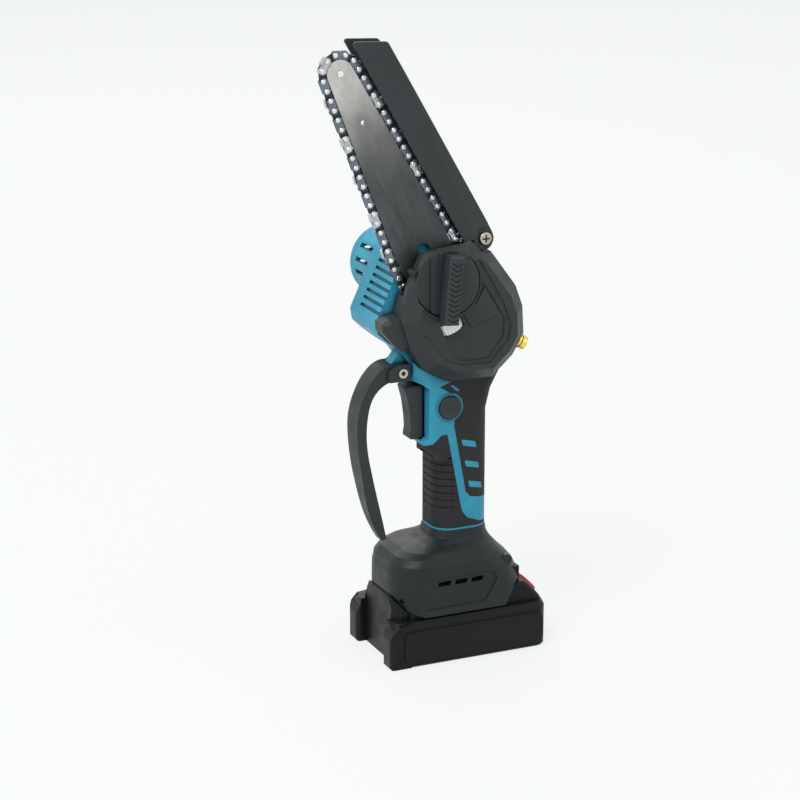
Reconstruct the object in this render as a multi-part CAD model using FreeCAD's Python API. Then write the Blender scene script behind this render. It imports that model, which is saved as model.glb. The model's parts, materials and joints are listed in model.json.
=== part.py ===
"""Cordless one-hand mini chainsaw, standing on its battery pack.

Frame: millimetres. The origin is the middle of the battery's base, +Z is up, +X points to the
back of the grip (away from the trigger) and -Y is the side of the sprocket cover.
Round parts of the drive all turn about axes along Y.
"""
import FreeCAD, Part
import os
from math import acos, asin, atan2, cos, degrees, hypot, pi, radians, sin, sqrt, tan

Vector = FreeCAD.Vector
PARTS = "parts"

# ------------------------------------------------------------------ driving dimensions
# Battery pack and the foot that it slides under
CELL_DIAMETER = 18.4
CELL_LENGTH = 65.0
CELL_COUNT = 5
CELL_GAP = 0.6
CELL_END_GAP = 0.1          # between the straps on the cells and the case
CELL_STRAP = 0.2
PACK_WALL = 2.2
PACK_SIDE_WALL = 1.4        # behind the side panels
PACK_PANEL_PROUD = 0.8      # of the side panels
PACK_END_ROOM = 6.8         # from the outer cells to the pack's ends
PACK_LENGTH = CELL_COUNT * (CELL_DIAMETER + CELL_GAP) - CELL_GAP + 2 * PACK_END_ROOM
PACK_WIDTH = CELL_LENGTH + 2 * (CELL_STRAP + CELL_END_GAP + PACK_SIDE_WALL + PACK_PANEL_PROUD)
PACK_CORNER = 8.0
PACK_BASE_HEIGHT = 26.8
PACK_BASE_TOP = 29.5        # top of the chamfer that leads to the deck
PACK_DECK = 43.0            # top of the pack under the foot
PACK_DECK_WIDTH = 55.6
TONGUE_TOP = 53.0
TONGUE_WIDTH = 47.0
TONGUE_FRONT = -20.0
TONGUE_BACK = 38.0

FOOT_FRONT = -49.0
FOOT_BACK = 44.5
FOOT_CORNER = 22.0
SKIRT_GAP = 0.65            # from the pack's deck to the inside of each skirt
SKIRT_WALL = 2.55
FOOT_SKIRT = 30.6           # bottom edge of the side skirts
FOOT_LIP = 43.6             # bottom edge at the front and the back
COLLAR_TOP = 81.0
SLIDE_GAP = 0.35            # clearance of every sliding fit of the pack

# Grip and housing
GRIP_DEPTH = 37.0
GRIP_WIDTH = 33.0
GRIP_CORNER = 12.0
GRIP_CENTRE = 2.2
SHELL_WALL = 2.5
SKIN = 1.5                  # rubber skin over the grip

# Drive
SPROCKET_X = 3.3
SPROCKET_Z = 205.3
BAR_LEAN = 25.84            # degrees that the bar leans from upright towards the front
BAR_PLANE = -12.0           # Y of the bar's middle
BAR_THICKNESS = 3.3
MOTOR_X = -19.0
MOTOR_Z = 242.0
MOTOR_CAN_RADIUS = 17.9
MOTOR_CAN_LENGTH = 40.0
CASE_FACE = -7.6            # outer face of the gear case, behind the bar
CASE_BACK = 16.0
POD_BACK = 33.0             # far side of the ribbed motor box
BARREL_RADIUS = 23.5
BARREL_JOINT = 56.5         # where the motor cap meets the housing
BARREL_END = 63.0
GEAR_MODULE = 1.0
PINION_TEETH = 12
IDLER_TEETH = 28
DRIVE_TEETH = 42
GEAR_WIDTH = 5.0
GEAR_FACE = -4.2            # Y of the gears' near faces
GEAR_BACKLASH = 0.16
SHAFT_RADIUS = 4.0
BEARING_RADIUS = 8.0
BEARING_WIDTH = 4.0

# Chain: quarter-inch pitch
RIVET_SPACING = 6.35
DRIVE_LINKS = 36
SPROCKET_TEETH = 6
NOSE_RADIUS = 8.5           # of the bar's rail round the nose
SHOULDER_FROM_NOSE = 128.0
SHOULDER_HALF_WIDTH = 19.0
SHOULDER_RADIUS = 42.0
RAIL_TO_RIVETS = 2.95
LINK_THICKNESS = 1.1
STRAP_THICKNESS = 0.9
LINK_GAP = 0.06
CUTTER_HEIGHT = 6.6         # of a cutter's top plate above the rail
RIVET_RADIUS = 1.15

# Sprocket cover, knob and tension wheel
COVER_STEP = -22.0          # Y where the cover's upright wall turns into its bevel
COVER_FACE = -31.5
COVER_BEVEL = 8.5
COVER_WALL = 2.5
STUD_ALONG = 46.0           # lock stud, measured from the sprocket along the bar
STUD_RADIUS = 4.0
KNOB_RADIUS = 20.5
KNOB_SEAT = -28.0           # floor of the round well that the knob turns in
KNOB_FLOOR = 1.8
KNOB_FACE = -31.9           # nearly flush with the cover
KNOB_GRIP_FACE = -42.2
KNOB_GRIP_WIDTH = 9.5
KNOB_GRIP_BELOW = 24.0      # reach of the grip bar below and above the stud
KNOB_GRIP_ABOVE = 19.0
KNOB_GRIP_LEAN = 5.0        # degrees, its lower end towards the front
KNOB_FOLD_FACE = -36.0
KNOB_FOLD_WIDTH = 3.5
WHEEL_ALONG = 20.0          # thumb wheel of the chain tensioner
WHEEL_ACROSS = -9.0
WHEEL_RADIUS = 8.6
WHEEL_WIDTH = 7.0
WHEEL_PROUD = 0.8           # of the cover's face
TENSION_SCREW_RADIUS = 2.0

# Bar guard
GUARD_NEAR = -20.0
GUARD_FAR = -4.6
GUARD_WALL = 1.8
GUARD_PIVOT_X = 13.3
GUARD_PIVOT_Z = 269.7

# Hand guard
BOW_HALF_WIDTH = 8.0
LUG_HALF_WIDTH = 4.6
LUG_X = -37.0
LUG_Z = 186.4

# Trigger and lock button
TRIGGER_HALF_WIDTH = 6.5
TRIGGER_TOP = 176.5
TRIGGER_BOTTOM = 141.5
TRIGGER_BACK = -21.5
BUTTON_X = -8.6
BUTTON_Z = 163.0
BUTTON_RADIUS = 7.5
BUTTON_RING = 8.9
BUTTON_PROUD = 2.6


# ------------------------------------------------------------------ shape helpers
def box(x0, x1, y0, y1, z0, z1):
    return Part.makeBox(x1 - x0, y1 - y0, z1 - z0, Vector(x0, y0, z0))


def rod(x, z, radius, y0, y1):
    """Cylinder along Y."""
    return Part.makeCylinder(radius, y1 - y0, Vector(x, y0, z), Vector(0, 1, 0))


def ring(x, z, outer, inner, y0, y1):
    return rod(x, z, outer, y0, y1).cut(rod(x, z, inner, y0 - 1, y1 + 1))


def fuse(shapes):
    first = shapes[0]
    rest = shapes[1:]
    if not rest:
        return first
    return first.multiFuse(rest).removeSplitter()


def corner_arc(before, corner, after, radius):
    """The two tangent points and the middle point of a rounded corner, in a plane."""
    ax, az = before[0] - corner[0], before[1] - corner[1]
    bx, bz = after[0] - corner[0], after[1] - corner[1]
    la, lb = hypot(ax, az), hypot(bx, bz)
    ax, az, bx, bz = ax / la, az / la, bx / lb, bz / lb
    half = acos(max(-1.0, min(1.0, ax * bx + az * bz))) / 2
    reach = min(radius / tan(half), 0.48 * la, 0.48 * lb)
    radius = reach * tan(half)
    mx, mz = ax + bx, az + bz
    lm = hypot(mx, mz)
    out = radius / sin(half) - radius
    start = (corner[0] + ax * reach, corner[1] + az * reach)
    end = (corner[0] + bx * reach, corner[1] + bz * reach)
    middle = (corner[0] + mx / lm * out, corner[1] + mz / lm * out)
    return start, middle, end


def outline(points, radius=0.0, at=lambda p: Vector(p[0], 0, p[1])):
    """Closed wire through points (u, v) or (u, v, own radius), its corners rounded."""
    count = len(points)
    edges = []
    last = None
    first = None
    for i, corner in enumerate(points):
        own = corner[2] if len(corner) > 2 else radius
        before, after = points[i - 1], points[(i + 1) % count]
        straight = abs((corner[0] - before[0]) * (after[1] - corner[1])
                       - (corner[1] - before[1]) * (after[0] - corner[0])) < 1e-6
        if own <= 0 or straight:
            start = end = (corner[0], corner[1])
            arc = None
        else:
            start, middle, end = corner_arc(before, corner, after, own)
            arc = Part.Arc(at(start), at(middle), at(end)).toShape()
        if last is not None and hypot(start[0] - last[0], start[1] - last[1]) > 1e-6:
            edges.append(Part.makeLine(at(last), at(start)))
        if arc:
            edges.append(arc)
        if first is None:
            first = start
        last = end
    if hypot(first[0] - last[0], first[1] - last[1]) > 1e-6:
        edges.append(Part.makeLine(at(last), at(first)))
    return Part.Wire(edges)


def plate(points, y0, y1, radius=0.0):
    """Plate with an outline in XZ, from y0 to y1."""
    face = Part.Face(outline(points, radius))
    face.translate(Vector(0, y0, 0))
    return face.extrude(Vector(0, y1 - y0, 0))


def slab(points, z0, z1, radius=0.0):
    """Plate with an outline in XY, from z0 to z1."""
    face = Part.Face(outline(points, radius, lambda p: Vector(p[0], p[1], z0)))
    return face.extrude(Vector(0, 0, z1 - z0))


def rectangle(x0, x1, half_width):
    return [(x0, -half_width), (x1, -half_width), (x1, half_width), (x0, half_width)]


def inset(points, distance):
    """A polygon with every side moved inwards (clockwise or anticlockwise)."""
    count = len(points)
    area = sum(points[i - 1][0] * points[i][1] - points[i][0] * points[i - 1][1] for i in range(count))
    side = 1.0 if area > 0 else -1.0
    moved = []
    for i in range(count):
        (x0, z0), (x1, z1) = points[i - 1][:2], points[i][:2]
        length = hypot(x1 - x0, z1 - z0)
        nx, nz = -side * (z1 - z0) / length, side * (x1 - x0) / length
        moved.append((x0 + nx * distance, z0 + nz * distance, x1 - x0, z1 - z0))
    result = []
    for i in range(count):
        ax, az, adx, adz = moved[i]
        bx, bz, bdx, bdz = moved[(i + 1) % count]
        cross = adx * bdz - adz * bdx
        share = ((bx - ax) * bdz - (bz - az) * bdx) / cross
        result.append((ax + adx * share, az + adz * share))
    return result


def section(x0, x1, half_width, corner, z):
    """Rounded rectangle wire at height z."""
    return outline(rectangle(x0, x1, half_width), corner, lambda p: Vector(p[0], p[1], z))


def stack(sections):
    return Part.makeLoft(sections, True, True)


def round_edges(shape, radius, chosen):
    """Fillet the edges that the test picks."""
    edges = [e for e in shape.Edges if chosen(e)]
    return shape.makeFillet(radius, edges) if edges else shape


def save(name, shape):
    solids = shape.Solids
    shape = solids[0] if len(solids) == 1 else Part.makeCompound(solids)
    shape.exportStep(os.path.join(PARTS, name + ".step"))


# ------------------------------------------------------------------ places on the bar
LEAN = radians(BAR_LEAN)
ALONG = (-sin(LEAN), cos(LEAN))     # from the sprocket towards the nose
ACROSS = (cos(LEAN), sin(LEAN))     # towards the back of the saw


def on_bar(along, across):
    """Point in XZ at a distance from the sprocket along the bar, and across it."""
    return (SPROCKET_X + along * ALONG[0] + across * ACROSS[0],
            SPROCKET_Z + along * ALONG[1] + across * ACROSS[1])


CHORD_RADIUS = RIVET_SPACING / (2 * sin(pi / (2 * SPROCKET_TEETH)))


def belt_circles(nose_distance, shift):
    """Circles that a line round the bar touches, in bar coordinates, anticlockwise."""
    shoulder = nose_distance - SHOULDER_FROM_NOSE
    centre = SHOULDER_HALF_WIDTH - SHOULDER_RADIUS
    return [(0.0, 0.0, CHORD_RADIUS - RAIL_TO_RIVETS + shift),
            (shoulder, centre, SHOULDER_RADIUS + shift),
            (nose_distance, 0.0, NOSE_RADIUS + shift),
            (shoulder, -centre, SHOULDER_RADIUS + shift)]


def belt(circles):
    """Straight runs and arcs of a tight belt: lists of (start, end) and (centre, radius, angles)."""
    runs = []
    for i, (a0, c0, r0) in enumerate(circles):
        a1, c1, r1 = circles[(i + 1) % len(circles)]
        da, dc = a1 - a0, c1 - c0
        length = hypot(da, dc)
        share = (r0 - r1) / length
        rise = sqrt(1 - share * share)
        ua, uc = da / length, dc / length
        na, nc = ua * share - uc * rise, uc * share + ua * rise
        runs.append(((a0 + r0 * na, c0 + r0 * nc), (a1 + r1 * na, c1 + r1 * nc)))
    return runs


class Track:
    """Closed path of a chain's rivets, measured by its length."""

    def __init__(self, circles):
        self.pieces = []
        runs = belt(circles)
        for i, (start, end) in enumerate(runs):
            a, c, radius = circles[(i + 1) % len(circles)]
            nxt = runs[(i + 1) % len(runs)][0]
            self.pieces.append(("run", start, end, hypot(end[0] - start[0], end[1] - start[1])))
            first = atan2(end[1] - c, end[0] - a)
            turn = (first - atan2(nxt[1] - c, nxt[0] - a)) % (2 * pi)
            self.pieces.append(("arc", (a, c, radius), (first, turn), radius * turn))
        self.length = sum(piece[3] for piece in self.pieces)

    def point(self, travel):
        travel %= self.length
        for kind, first, second, length in self.pieces:
            if travel > length:
                travel -= length
                continue
            if kind == "run":
                share = travel / length
                return (first[0] + (second[0] - first[0]) * share,
                        first[1] + (second[1] - first[1]) * share)
            angle = second[0] - travel / first[2]
            return first[0] + first[2] * cos(angle), first[1] + first[2] * sin(angle)
        return self.pieces[0][1]

    def next_rivet(self, travel):
        """Travel at which the straight distance from here is one rivet spacing."""
        here = self.point(travel)
        low, high = RIVET_SPACING * 0.9, RIVET_SPACING * 1.2
        for _ in range(40):
            middle = (low + high) / 2
            there = self.point(travel + middle)
            if hypot(there[0] - here[0], there[1] - here[1]) < RIVET_SPACING:
                low = middle
            else:
                high = middle
        return travel + (low + high) / 2


def chain_rivets(nose_distance, start):
    """Rivet places, and by how much the loop misses closing."""
    track = Track(belt_circles(nose_distance, RAIL_TO_RIVETS))
    travel = start
    places = []
    for _ in range(2 * DRIVE_LINKS):
        places.append(track.point(travel))
        travel = track.next_rivet(travel)
    return places, travel - start - track.length


def fitted_nose_distance():
    """Distance from the sprocket to the nose at which the chain closes exactly."""
    low = SHOULDER_FROM_NOSE + SHOULDER_RADIUS
    high = low + RIVET_SPACING * DRIVE_LINKS
    for _ in range(30):
        middle = (low + high) / 2
        if chain_rivets(middle, 0.0)[1] > 0:
            low = middle
        else:
            high = middle
    return (low + high) / 2


NOSE_DISTANCE = fitted_nose_distance()


def belt_solid(shift, y0, y1):
    """Solid inside a line that runs round the bar, moved out from the rail."""
    circles = belt_circles(NOSE_DISTANCE, shift)
    runs = belt(circles)
    edges = []
    for i, (start, end) in enumerate(runs):
        a, c, radius = circles[(i + 1) % len(circles)]
        nxt = runs[(i + 1) % len(runs)][0]
        first = atan2(end[1] - c, end[0] - a)
        turn = (first - atan2(nxt[1] - c, nxt[0] - a)) % (2 * pi)
        middle = (a + radius * cos(first - turn / 2), c + radius * sin(first - turn / 2))
        flat = [Vector(x, y0, z) for x, z in (on_bar(*p) for p in (start, end, middle, nxt))]
        edges.append(Part.makeLine(flat[0], flat[1]))
        edges.append(Part.Arc(flat[1], flat[2], flat[3]).toShape())
    return Part.Face(Part.Wire(edges)).extrude(Vector(0, y1 - y0, 0))


def along_bar(shape):
    """Turn a shape made about Z at the origin so that it lies along the bar, at the sprocket."""
    shape.rotate(Vector(0, 0, 0), Vector(0, 1, 0), -BAR_LEAN)
    shape.translate(Vector(SPROCKET_X, 0, SPROCKET_Z))
    return shape


def bar_rod(along0, along1, across, y, radius):
    """Cylinder along the bar's direction."""
    return along_bar(Part.makeCylinder(radius, along1 - along0, Vector(across, y, along0)))


def bar_box(along0, along1, across0, across1, y0, y1):
    return along_bar(box(across0, across1, y0, y1, along0, along1))


STUD = on_bar(STUD_ALONG, 0.0)

# ------------------------------------------------------------------ guide bar and chain
BAR_NEAR = BAR_PLANE - BAR_THICKNESS / 2
BAR_FAR = BAR_PLANE + BAR_THICKNESS / 2
BAR_TAIL = 24.0             # tail end of the bar, from the sprocket
GROOVE_DEPTH = 4.6
SLOT_START, SLOT_END = 33.0, 70.5
SLOT_RADIUS = STUD_RADIUS + 0.25
NOSE_HOLE_FROM_NOSE = 33.7
NOSE_HOLE_RADIUS = 1.6
NOSE_RIVET_RADIUS = 2.0
TAIL_INSET = 1.0            # the bar's tail is slimmer, so that it can slide inside the chain
TAIL_END = 67.0
TENSION_ACROSS = WHEEL_ACROSS
TENSION_PIN_ALONG = 48.0
TENSION_PIN_RADIUS = 2.0


def guide_bar():
    bar = belt_solid(0.0, BAR_NEAR, BAR_FAR)
    wide = SHOULDER_HALF_WIDTH + 10
    bar = bar.cut(bar_box(-wide, BAR_TAIL, -wide, wide, BAR_NEAR - 1, BAR_FAR + 1))
    waist = belt_solid(-TAIL_INSET, BAR_NEAR - 1, BAR_FAR + 1)
    tail = bar_box(-wide, TAIL_END, -2 * wide, 2 * wide, BAR_NEAR - 1, BAR_FAR + 1)
    bar = bar.cut(tail.cut(waist))
    half = LINK_THICKNESS / 2 + 0.1
    inner = belt_solid(-GROOVE_DEPTH, BAR_PLANE - half, BAR_PLANE + half)
    outer = belt_solid(1.0, BAR_PLANE - half, BAR_PLANE + half)
    bar = bar.cut(outer.cut(inner))
    slot = bar_box(SLOT_START, SLOT_END - SLOT_RADIUS, -SLOT_RADIUS, SLOT_RADIUS, BAR_NEAR - 1, BAR_FAR + 1)
    top = on_bar(SLOT_END - SLOT_RADIUS, 0.0)
    slot = slot.fuse(rod(top[0], top[1], SLOT_RADIUS, BAR_NEAR - 1, BAR_FAR + 1))
    bar = bar.cut(slot)
    hole = on_bar(NOSE_DISTANCE - NOSE_HOLE_FROM_NOSE, 0.0)
    bar = bar.cut(rod(hole[0], hole[1], NOSE_HOLE_RADIUS, BAR_NEAR - 1, BAR_FAR + 1))
    pin = on_bar(TENSION_PIN_ALONG, TENSION_ACROSS)
    bar = bar.cut(rod(pin[0], pin[1], TENSION_PIN_RADIUS + 0.1, BAR_NEAR - 1, BAR_FAR + 1))
    nose = on_bar(NOSE_DISTANCE, 0.0)
    return bar.cut(rod(nose[0], nose[1], NOSE_RIVET_RADIUS, BAR_NEAR - 1, BAR_FAR + 1))


def nose_rivet():
    nose = on_bar(NOSE_DISTANCE, 0.0)
    return rod(nose[0], nose[1], NOSE_RIVET_RADIUS, BAR_NEAR - 0.3, BAR_FAR + 0.3)


def link_frame(start, end):
    """Middle of a link in XZ, its travel direction and its outward direction."""
    length = hypot(end[0] - start[0], end[1] - start[1])
    ua, uc = (end[0] - start[0]) / length, (end[1] - start[1]) / length
    middle = on_bar((start[0] + end[0]) / 2, (start[1] + end[1]) / 2)
    travel = (ua * ALONG[0] + uc * ACROSS[0], ua * ALONG[1] + uc * ACROSS[1])
    outward = (-uc * ALONG[0] + ua * ACROSS[0], -uc * ALONG[1] + ua * ACROSS[1])
    return middle, travel, outward


def placed(frame, points):
    middle, travel, outward = frame
    return [(middle[0] + u * travel[0] + w * outward[0], middle[1] + u * travel[1] + w * outward[1])
            for u, w in points]


HALF_LINK = RIVET_SPACING / 2
LINK_END = HALF_LINK + 2.2
LINK_TOP = 2.4
LINK_FOOT = RAIL_TO_RIVETS - 0.05
STRAP_ARCH = 2.2            # the straps are arched below, to pass round the nose
TANG_DEPTH = 6.1
STRAP_IN = LINK_THICKNESS / 2 + LINK_GAP
STRAP_OUT = STRAP_IN + STRAP_THICKNESS
CUTTER_OUT = STRAP_OUT + 0.7
CUTTER_TOP = CUTTER_HEIGHT - RAIL_TO_RIVETS
PLATE_THICKNESS = 0.8       # of a cutter's top plate
RIVET_HEAD = 0.35
CHAIN_START = 6.0           # travel of the first rivet from the start of the track
DRIVE_TOP = LINK_TOP - 0.3    # clears the cutters' top plates
DRIVE_PROFILE = [(-4.9, 1.4), (-3.4, DRIVE_TOP), (3.4, DRIVE_TOP), (4.9, 1.4), (4.9, -1.5), (3.1, -3.0),
                 (1.5, -5.6), (-0.6, -TANG_DEPTH), (-2.9, -3.4), (-4.9, -1.5)]
STRAP_PROFILE = [(-3.4, -LINK_FOOT), (-1.6, -STRAP_ARCH), (1.6, -STRAP_ARCH), (3.4, -LINK_FOOT),
                 (5.2, -1.2),
                 (LINK_END, 0.6), (4.1, LINK_TOP), (-4.1, LINK_TOP), (-LINK_END, 0.6), (-5.2, -1.2)]
TOOTH_PROFILE = [(-5.3, 1.7), (-0.4, 1.7), (0.4, CUTTER_TOP), (-5.0, CUTTER_TOP - 0.5)]
GAUGE_PROFILE = [(2.0, 1.0), (5.3, 0.8), (5.4, CUTTER_TOP - 1.4), (4.4, CUTTER_TOP - 0.6),
                 (3.0, CUTTER_TOP - 0.9)]


def link_plate(frame, profile, side, inner, outer):
    """Plate of a link on one side (-1 near, +1 far) between two distances from the chain's middle."""
    low, high = sorted((BAR_PLANE + side * inner, BAR_PLANE + side * outer))
    return plate(placed(frame, profile), low, high)


def drive_link(frame):
    half = LINK_THICKNESS / 2
    link = plate(placed(frame, DRIVE_PROFILE), BAR_PLANE - half, BAR_PLANE + half, 0.7)
    return bored(link, frame)


def bored(link, frame):
    for x, z in placed(frame, [(-HALF_LINK, 0), (HALF_LINK, 0)]):
        link = link.cut(rod(x, z, RIVET_RADIUS + 0.04, BAR_PLANE - 4, BAR_PLANE + 4))
    return link


def tie_strap(frame, side):
    return bored(link_plate(frame, STRAP_PROFILE, side, STRAP_IN, STRAP_OUT), frame)


def cutter(frame, side):
    base = tie_strap(frame, side)
    tooth = link_plate(frame, TOOTH_PROFILE, side, STRAP_IN + 0.5, CUTTER_OUT)
    top = [(-5.0, CUTTER_TOP - 0.5 - PLATE_THICKNESS), (0.1, CUTTER_TOP - PLATE_THICKNESS),
           (0.4, CUTTER_TOP), (-5.0, CUTTER_TOP - 0.5)]
    top_plate = link_plate(frame, top, side, -0.3, CUTTER_OUT)
    gauge = link_plate(frame, GAUGE_PROFILE, side, STRAP_IN, STRAP_OUT)
    return bored(fuse([base, tooth, top_plate, gauge]), frame)


def chain_rivet(point):
    x, z = on_bar(*point)
    half = STRAP_OUT + RIVET_HEAD
    pin = rod(x, z, RIVET_RADIUS, BAR_PLANE - half, BAR_PLANE + half)
    head = RIVET_RADIUS + 0.45
    heads = [Part.makeCone(head, head - 0.4, RIVET_HEAD, Vector(x, BAR_PLANE + side * STRAP_OUT, z),
                           Vector(0, side, 0)) for side in (-1, 1)]
    return fuse([pin] + heads)


def chain():
    """Five groups of solids: drive links, tie straps, near cutters, far cutters and rivets."""
    points = chain_rivets(NOSE_DISTANCE, CHAIN_START)[0]
    groups = {"chain_drive_links": [], "chain_tie_straps": [], "chain_near_cutters": [],
              "chain_far_cutters": [], "chain_rivets": []}
    count = len(points)
    for i, point in enumerate(points):
        frame = link_frame(point, points[(i + 1) % count])
        groups["chain_rivets"].append(chain_rivet(point))
        if i % 2 == 0:
            groups["chain_drive_links"].append(drive_link(frame))
            continue
        place = (i // 2) % 4
        near = place == 0
        far = place == 2
        groups["chain_near_cutters" if near else "chain_tie_straps"].append(
            cutter(frame, -1) if near else tie_strap(frame, -1))
        groups["chain_far_cutters" if far else "chain_tie_straps"].append(
            cutter(frame, 1) if far else tie_strap(frame, 1))
    return {name: Part.makeCompound(solids) for name, solids in groups.items()}


# ------------------------------------------------------------------ gears, shafts and sprocket
def gear(x, z, teeth, turned, y0, y1, bore):
    """Spur gear with stub teeth: involute flanks, drawn as arcs through three of their points."""
    pitch_radius = GEAR_MODULE * teeth / 2
    base = pitch_radius * cos(radians(20))
    tip = pitch_radius + 0.8 * GEAR_MODULE
    root = pitch_radius - 1.1 * GEAR_MODULE
    low = max(base, root)
    half_pitch = pi / (2 * teeth) - GEAR_BACKLASH / (2 * pitch_radius)

    def flank(radius):
        involute = lambda r: tan(acos(base / r)) - acos(base / r)
        return half_pitch + involute(pitch_radius) - involute(max(radius, base))

    def at(radius, angle):
        return Vector(x + radius * cos(angle), y0, z + radius * sin(angle))

    middle = (low + tip) / 2
    edges = []
    for i in range(teeth):
        centre = turned + 2 * pi * i / teeth
        nxt = centre + 2 * pi / teeth
        rising = [at(low, centre - flank(low)), at(middle, centre - flank(middle)),
                  at(tip, centre - flank(tip))]
        falling = [at(tip, centre + flank(tip)), at(middle, centre + flank(middle)),
                   at(low, centre + flank(low))]
        if root < low - 1e-6:
            edges.append(Part.makeLine(at(root, centre - flank(low)), rising[0]))
        edges.append(Part.Arc(*rising).toShape())
        edges.append(Part.Arc(rising[2], at(tip, centre), falling[0]).toShape())
        edges.append(Part.Arc(*falling).toShape())
        if root < low - 1e-6:
            edges.append(Part.makeLine(falling[2], at(root, centre + flank(low))))
        edges.append(Part.Arc(at(root, centre + flank(low)), at(root, (centre + nxt) / 2),
                              at(root, nxt - flank(low))).toShape())
    wheel = Part.Face(Part.Wire(edges)).extrude(Vector(0, y1 - y0, 0))
    return wheel.cut(rod(x, z, bore, y0 - 1, y1 + 1))


SPROCKET = (SPROCKET_X, SPROCKET_Z)
MOTOR = (MOTOR_X, MOTOR_Z)


def idler_place():
    """The idler meshes with the pinion and the drive gear, on the bar's back side."""
    a = GEAR_MODULE * (PINION_TEETH + IDLER_TEETH) / 2
    b = GEAR_MODULE * (IDLER_TEETH + DRIVE_TEETH) / 2
    dx, dz = SPROCKET_X - MOTOR_X, SPROCKET_Z - MOTOR_Z
    apart = hypot(dx, dz)
    share = (a * a - b * b + apart * apart) / (2 * apart)
    rise = sqrt(a * a - share * share)
    ux, uz = dx / apart, dz / apart
    return MOTOR_X + ux * share - uz * rise, MOTOR_Z + uz * share + ux * rise


IDLER = idler_place()


def meshing_turn(own_turn, own, own_teeth, other, other_teeth):
    """Turn of the other gear at which a gap of it meets the tooth of the first one."""
    line = atan2(other[1] - own[1], other[0] - own[0])
    step = 2 * pi / own_teeth
    share = ((line - own_turn) % step) / step
    return line + pi + (share + 0.5) * 2 * pi / other_teeth


IDLER_TURN = 0.0
PINION_TURN = meshing_turn(IDLER_TURN, IDLER, IDLER_TEETH, MOTOR, PINION_TEETH)
DRIVE_TURN = meshing_turn(IDLER_TURN, IDLER, IDLER_TEETH, SPROCKET, DRIVE_TEETH)
GEAR_BACK = GEAR_FACE + GEAR_WIDTH
FIT = 0.03                  # radial clearance of turning fits
IDLER_PIN_RADIUS = 3.0
IDLER_PIN_END = CASE_FACE + 1.2
MOTOR_SHAFT_RADIUS = 1.6
GEAR_PLATE_FACE = GEAR_BACK + 1.0
GEAR_PLATE_THICKNESS = 4.5
GEAR_PLATE_BACK = GEAR_PLATE_FACE + GEAR_PLATE_THICKNESS
MOTOR_FRONT = GEAR_PLATE_BACK
MOTOR_BACK = MOTOR_FRONT + MOTOR_CAN_LENGTH
MOTOR_WALL = 1.6
MAGNET = 4.2
ROTOR_GAP = 0.5
ROTOR_RADIUS = MOTOR_CAN_RADIUS - MOTOR_WALL - MAGNET - ROTOR_GAP
SPROCKET_WIDTH = 6.4
TOOTH_TIP = CHORD_RADIUS * cos(pi / (2 * SPROCKET_TEETH)) - RAIL_TO_RIVETS - 0.2
TOOTH_WIDTH = 2.6
SPROCKET_HUB = 5.4
SHAFT_NEAR = BAR_PLANE - SPROCKET_WIDTH / 2 - 2.6
CLIP_THICKNESS = 1.0
NEAR_BEARING_FACE = GEAR_FACE - BEARING_WIDTH - 0.3


def drive_gear():
    return gear(*SPROCKET, DRIVE_TEETH, DRIVE_TURN, GEAR_FACE, GEAR_BACK, SHAFT_RADIUS)


def idler_gear():
    return gear(*IDLER, IDLER_TEETH, IDLER_TURN, GEAR_FACE, GEAR_BACK, IDLER_PIN_RADIUS + FIT)


def motor_pinion():
    return gear(*MOTOR, PINION_TEETH, PINION_TURN, GEAR_FACE, GEAR_BACK, MOTOR_SHAFT_RADIUS)


def idler_pin():
    return rod(*IDLER, IDLER_PIN_RADIUS, IDLER_PIN_END, GEAR_PLATE_FACE + 3)


def output_shaft():
    shaft = rod(*SPROCKET, SHAFT_RADIUS, SHAFT_NEAR, GEAR_PLATE_FACE + BEARING_WIDTH)
    groove_near = SHAFT_NEAR + 0.8
    groove = ring(*SPROCKET, SHAFT_RADIUS + 1, SHAFT_RADIUS - 0.8, groove_near,
                  groove_near + CLIP_THICKNESS)
    return shaft.cut(groove)


def sprocket():
    near, far = BAR_PLANE - SPROCKET_WIDTH / 2, BAR_PLANE + SPROCKET_WIDTH / 2
    first = chain_rivets(NOSE_DISTANCE, CHAIN_START)[0]
    lowest = min(range(0, len(first), 2), key=lambda i: first[i][0])
    link = link_frame(first[lowest], first[lowest + 1])[0]
    angle = degrees(atan2(link[1] - SPROCKET_Z, link[0] - SPROCKET_X))
    step = 360.0 / SPROCKET_TEETH
    pieces = [rod(*SPROCKET, SPROCKET_HUB, near, far)]
    for i in range(SPROCKET_TEETH):
        tooth = box(0, TOOTH_TIP, near, far, -TOOTH_WIDTH / 2, TOOTH_WIDTH / 2)
        tooth = tooth.common(rod(0, 0, TOOTH_TIP, near, far))
        tooth.rotate(Vector(0, 0, 0), Vector(0, 1, 0), -(angle + step * (i + 0.5)))
        tooth.translate(Vector(SPROCKET_X, 0, SPROCKET_Z))
        pieces.append(tooth)
    return fuse(pieces).cut(rod(*SPROCKET, SHAFT_RADIUS, near - 1, far + 1))


def sprocket_clip():
    near = SHAFT_NEAR + 0.8
    clip = ring(*SPROCKET, SHAFT_RADIUS + 1.8, SHAFT_RADIUS - 0.8, near, near + CLIP_THICKNESS)
    x, z = SPROCKET
    return clip.cut(box(x - 1.8, x + 1.8, near - 1, near + CLIP_THICKNESS + 1, z, z + SHAFT_RADIUS + 4))


def bearing(y0):
    """Shielded ball bearing as its two races and shield in one ring."""
    return ring(*SPROCKET, BEARING_RADIUS, SHAFT_RADIUS + FIT, y0, y0 + BEARING_WIDTH)


def shaft_bearings():
    return Part.makeCompound([bearing(NEAR_BEARING_FACE), bearing(GEAR_PLATE_FACE)])


# ------------------------------------------------------------------ motor
COMMUTATOR_RADIUS = 3.4


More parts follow.
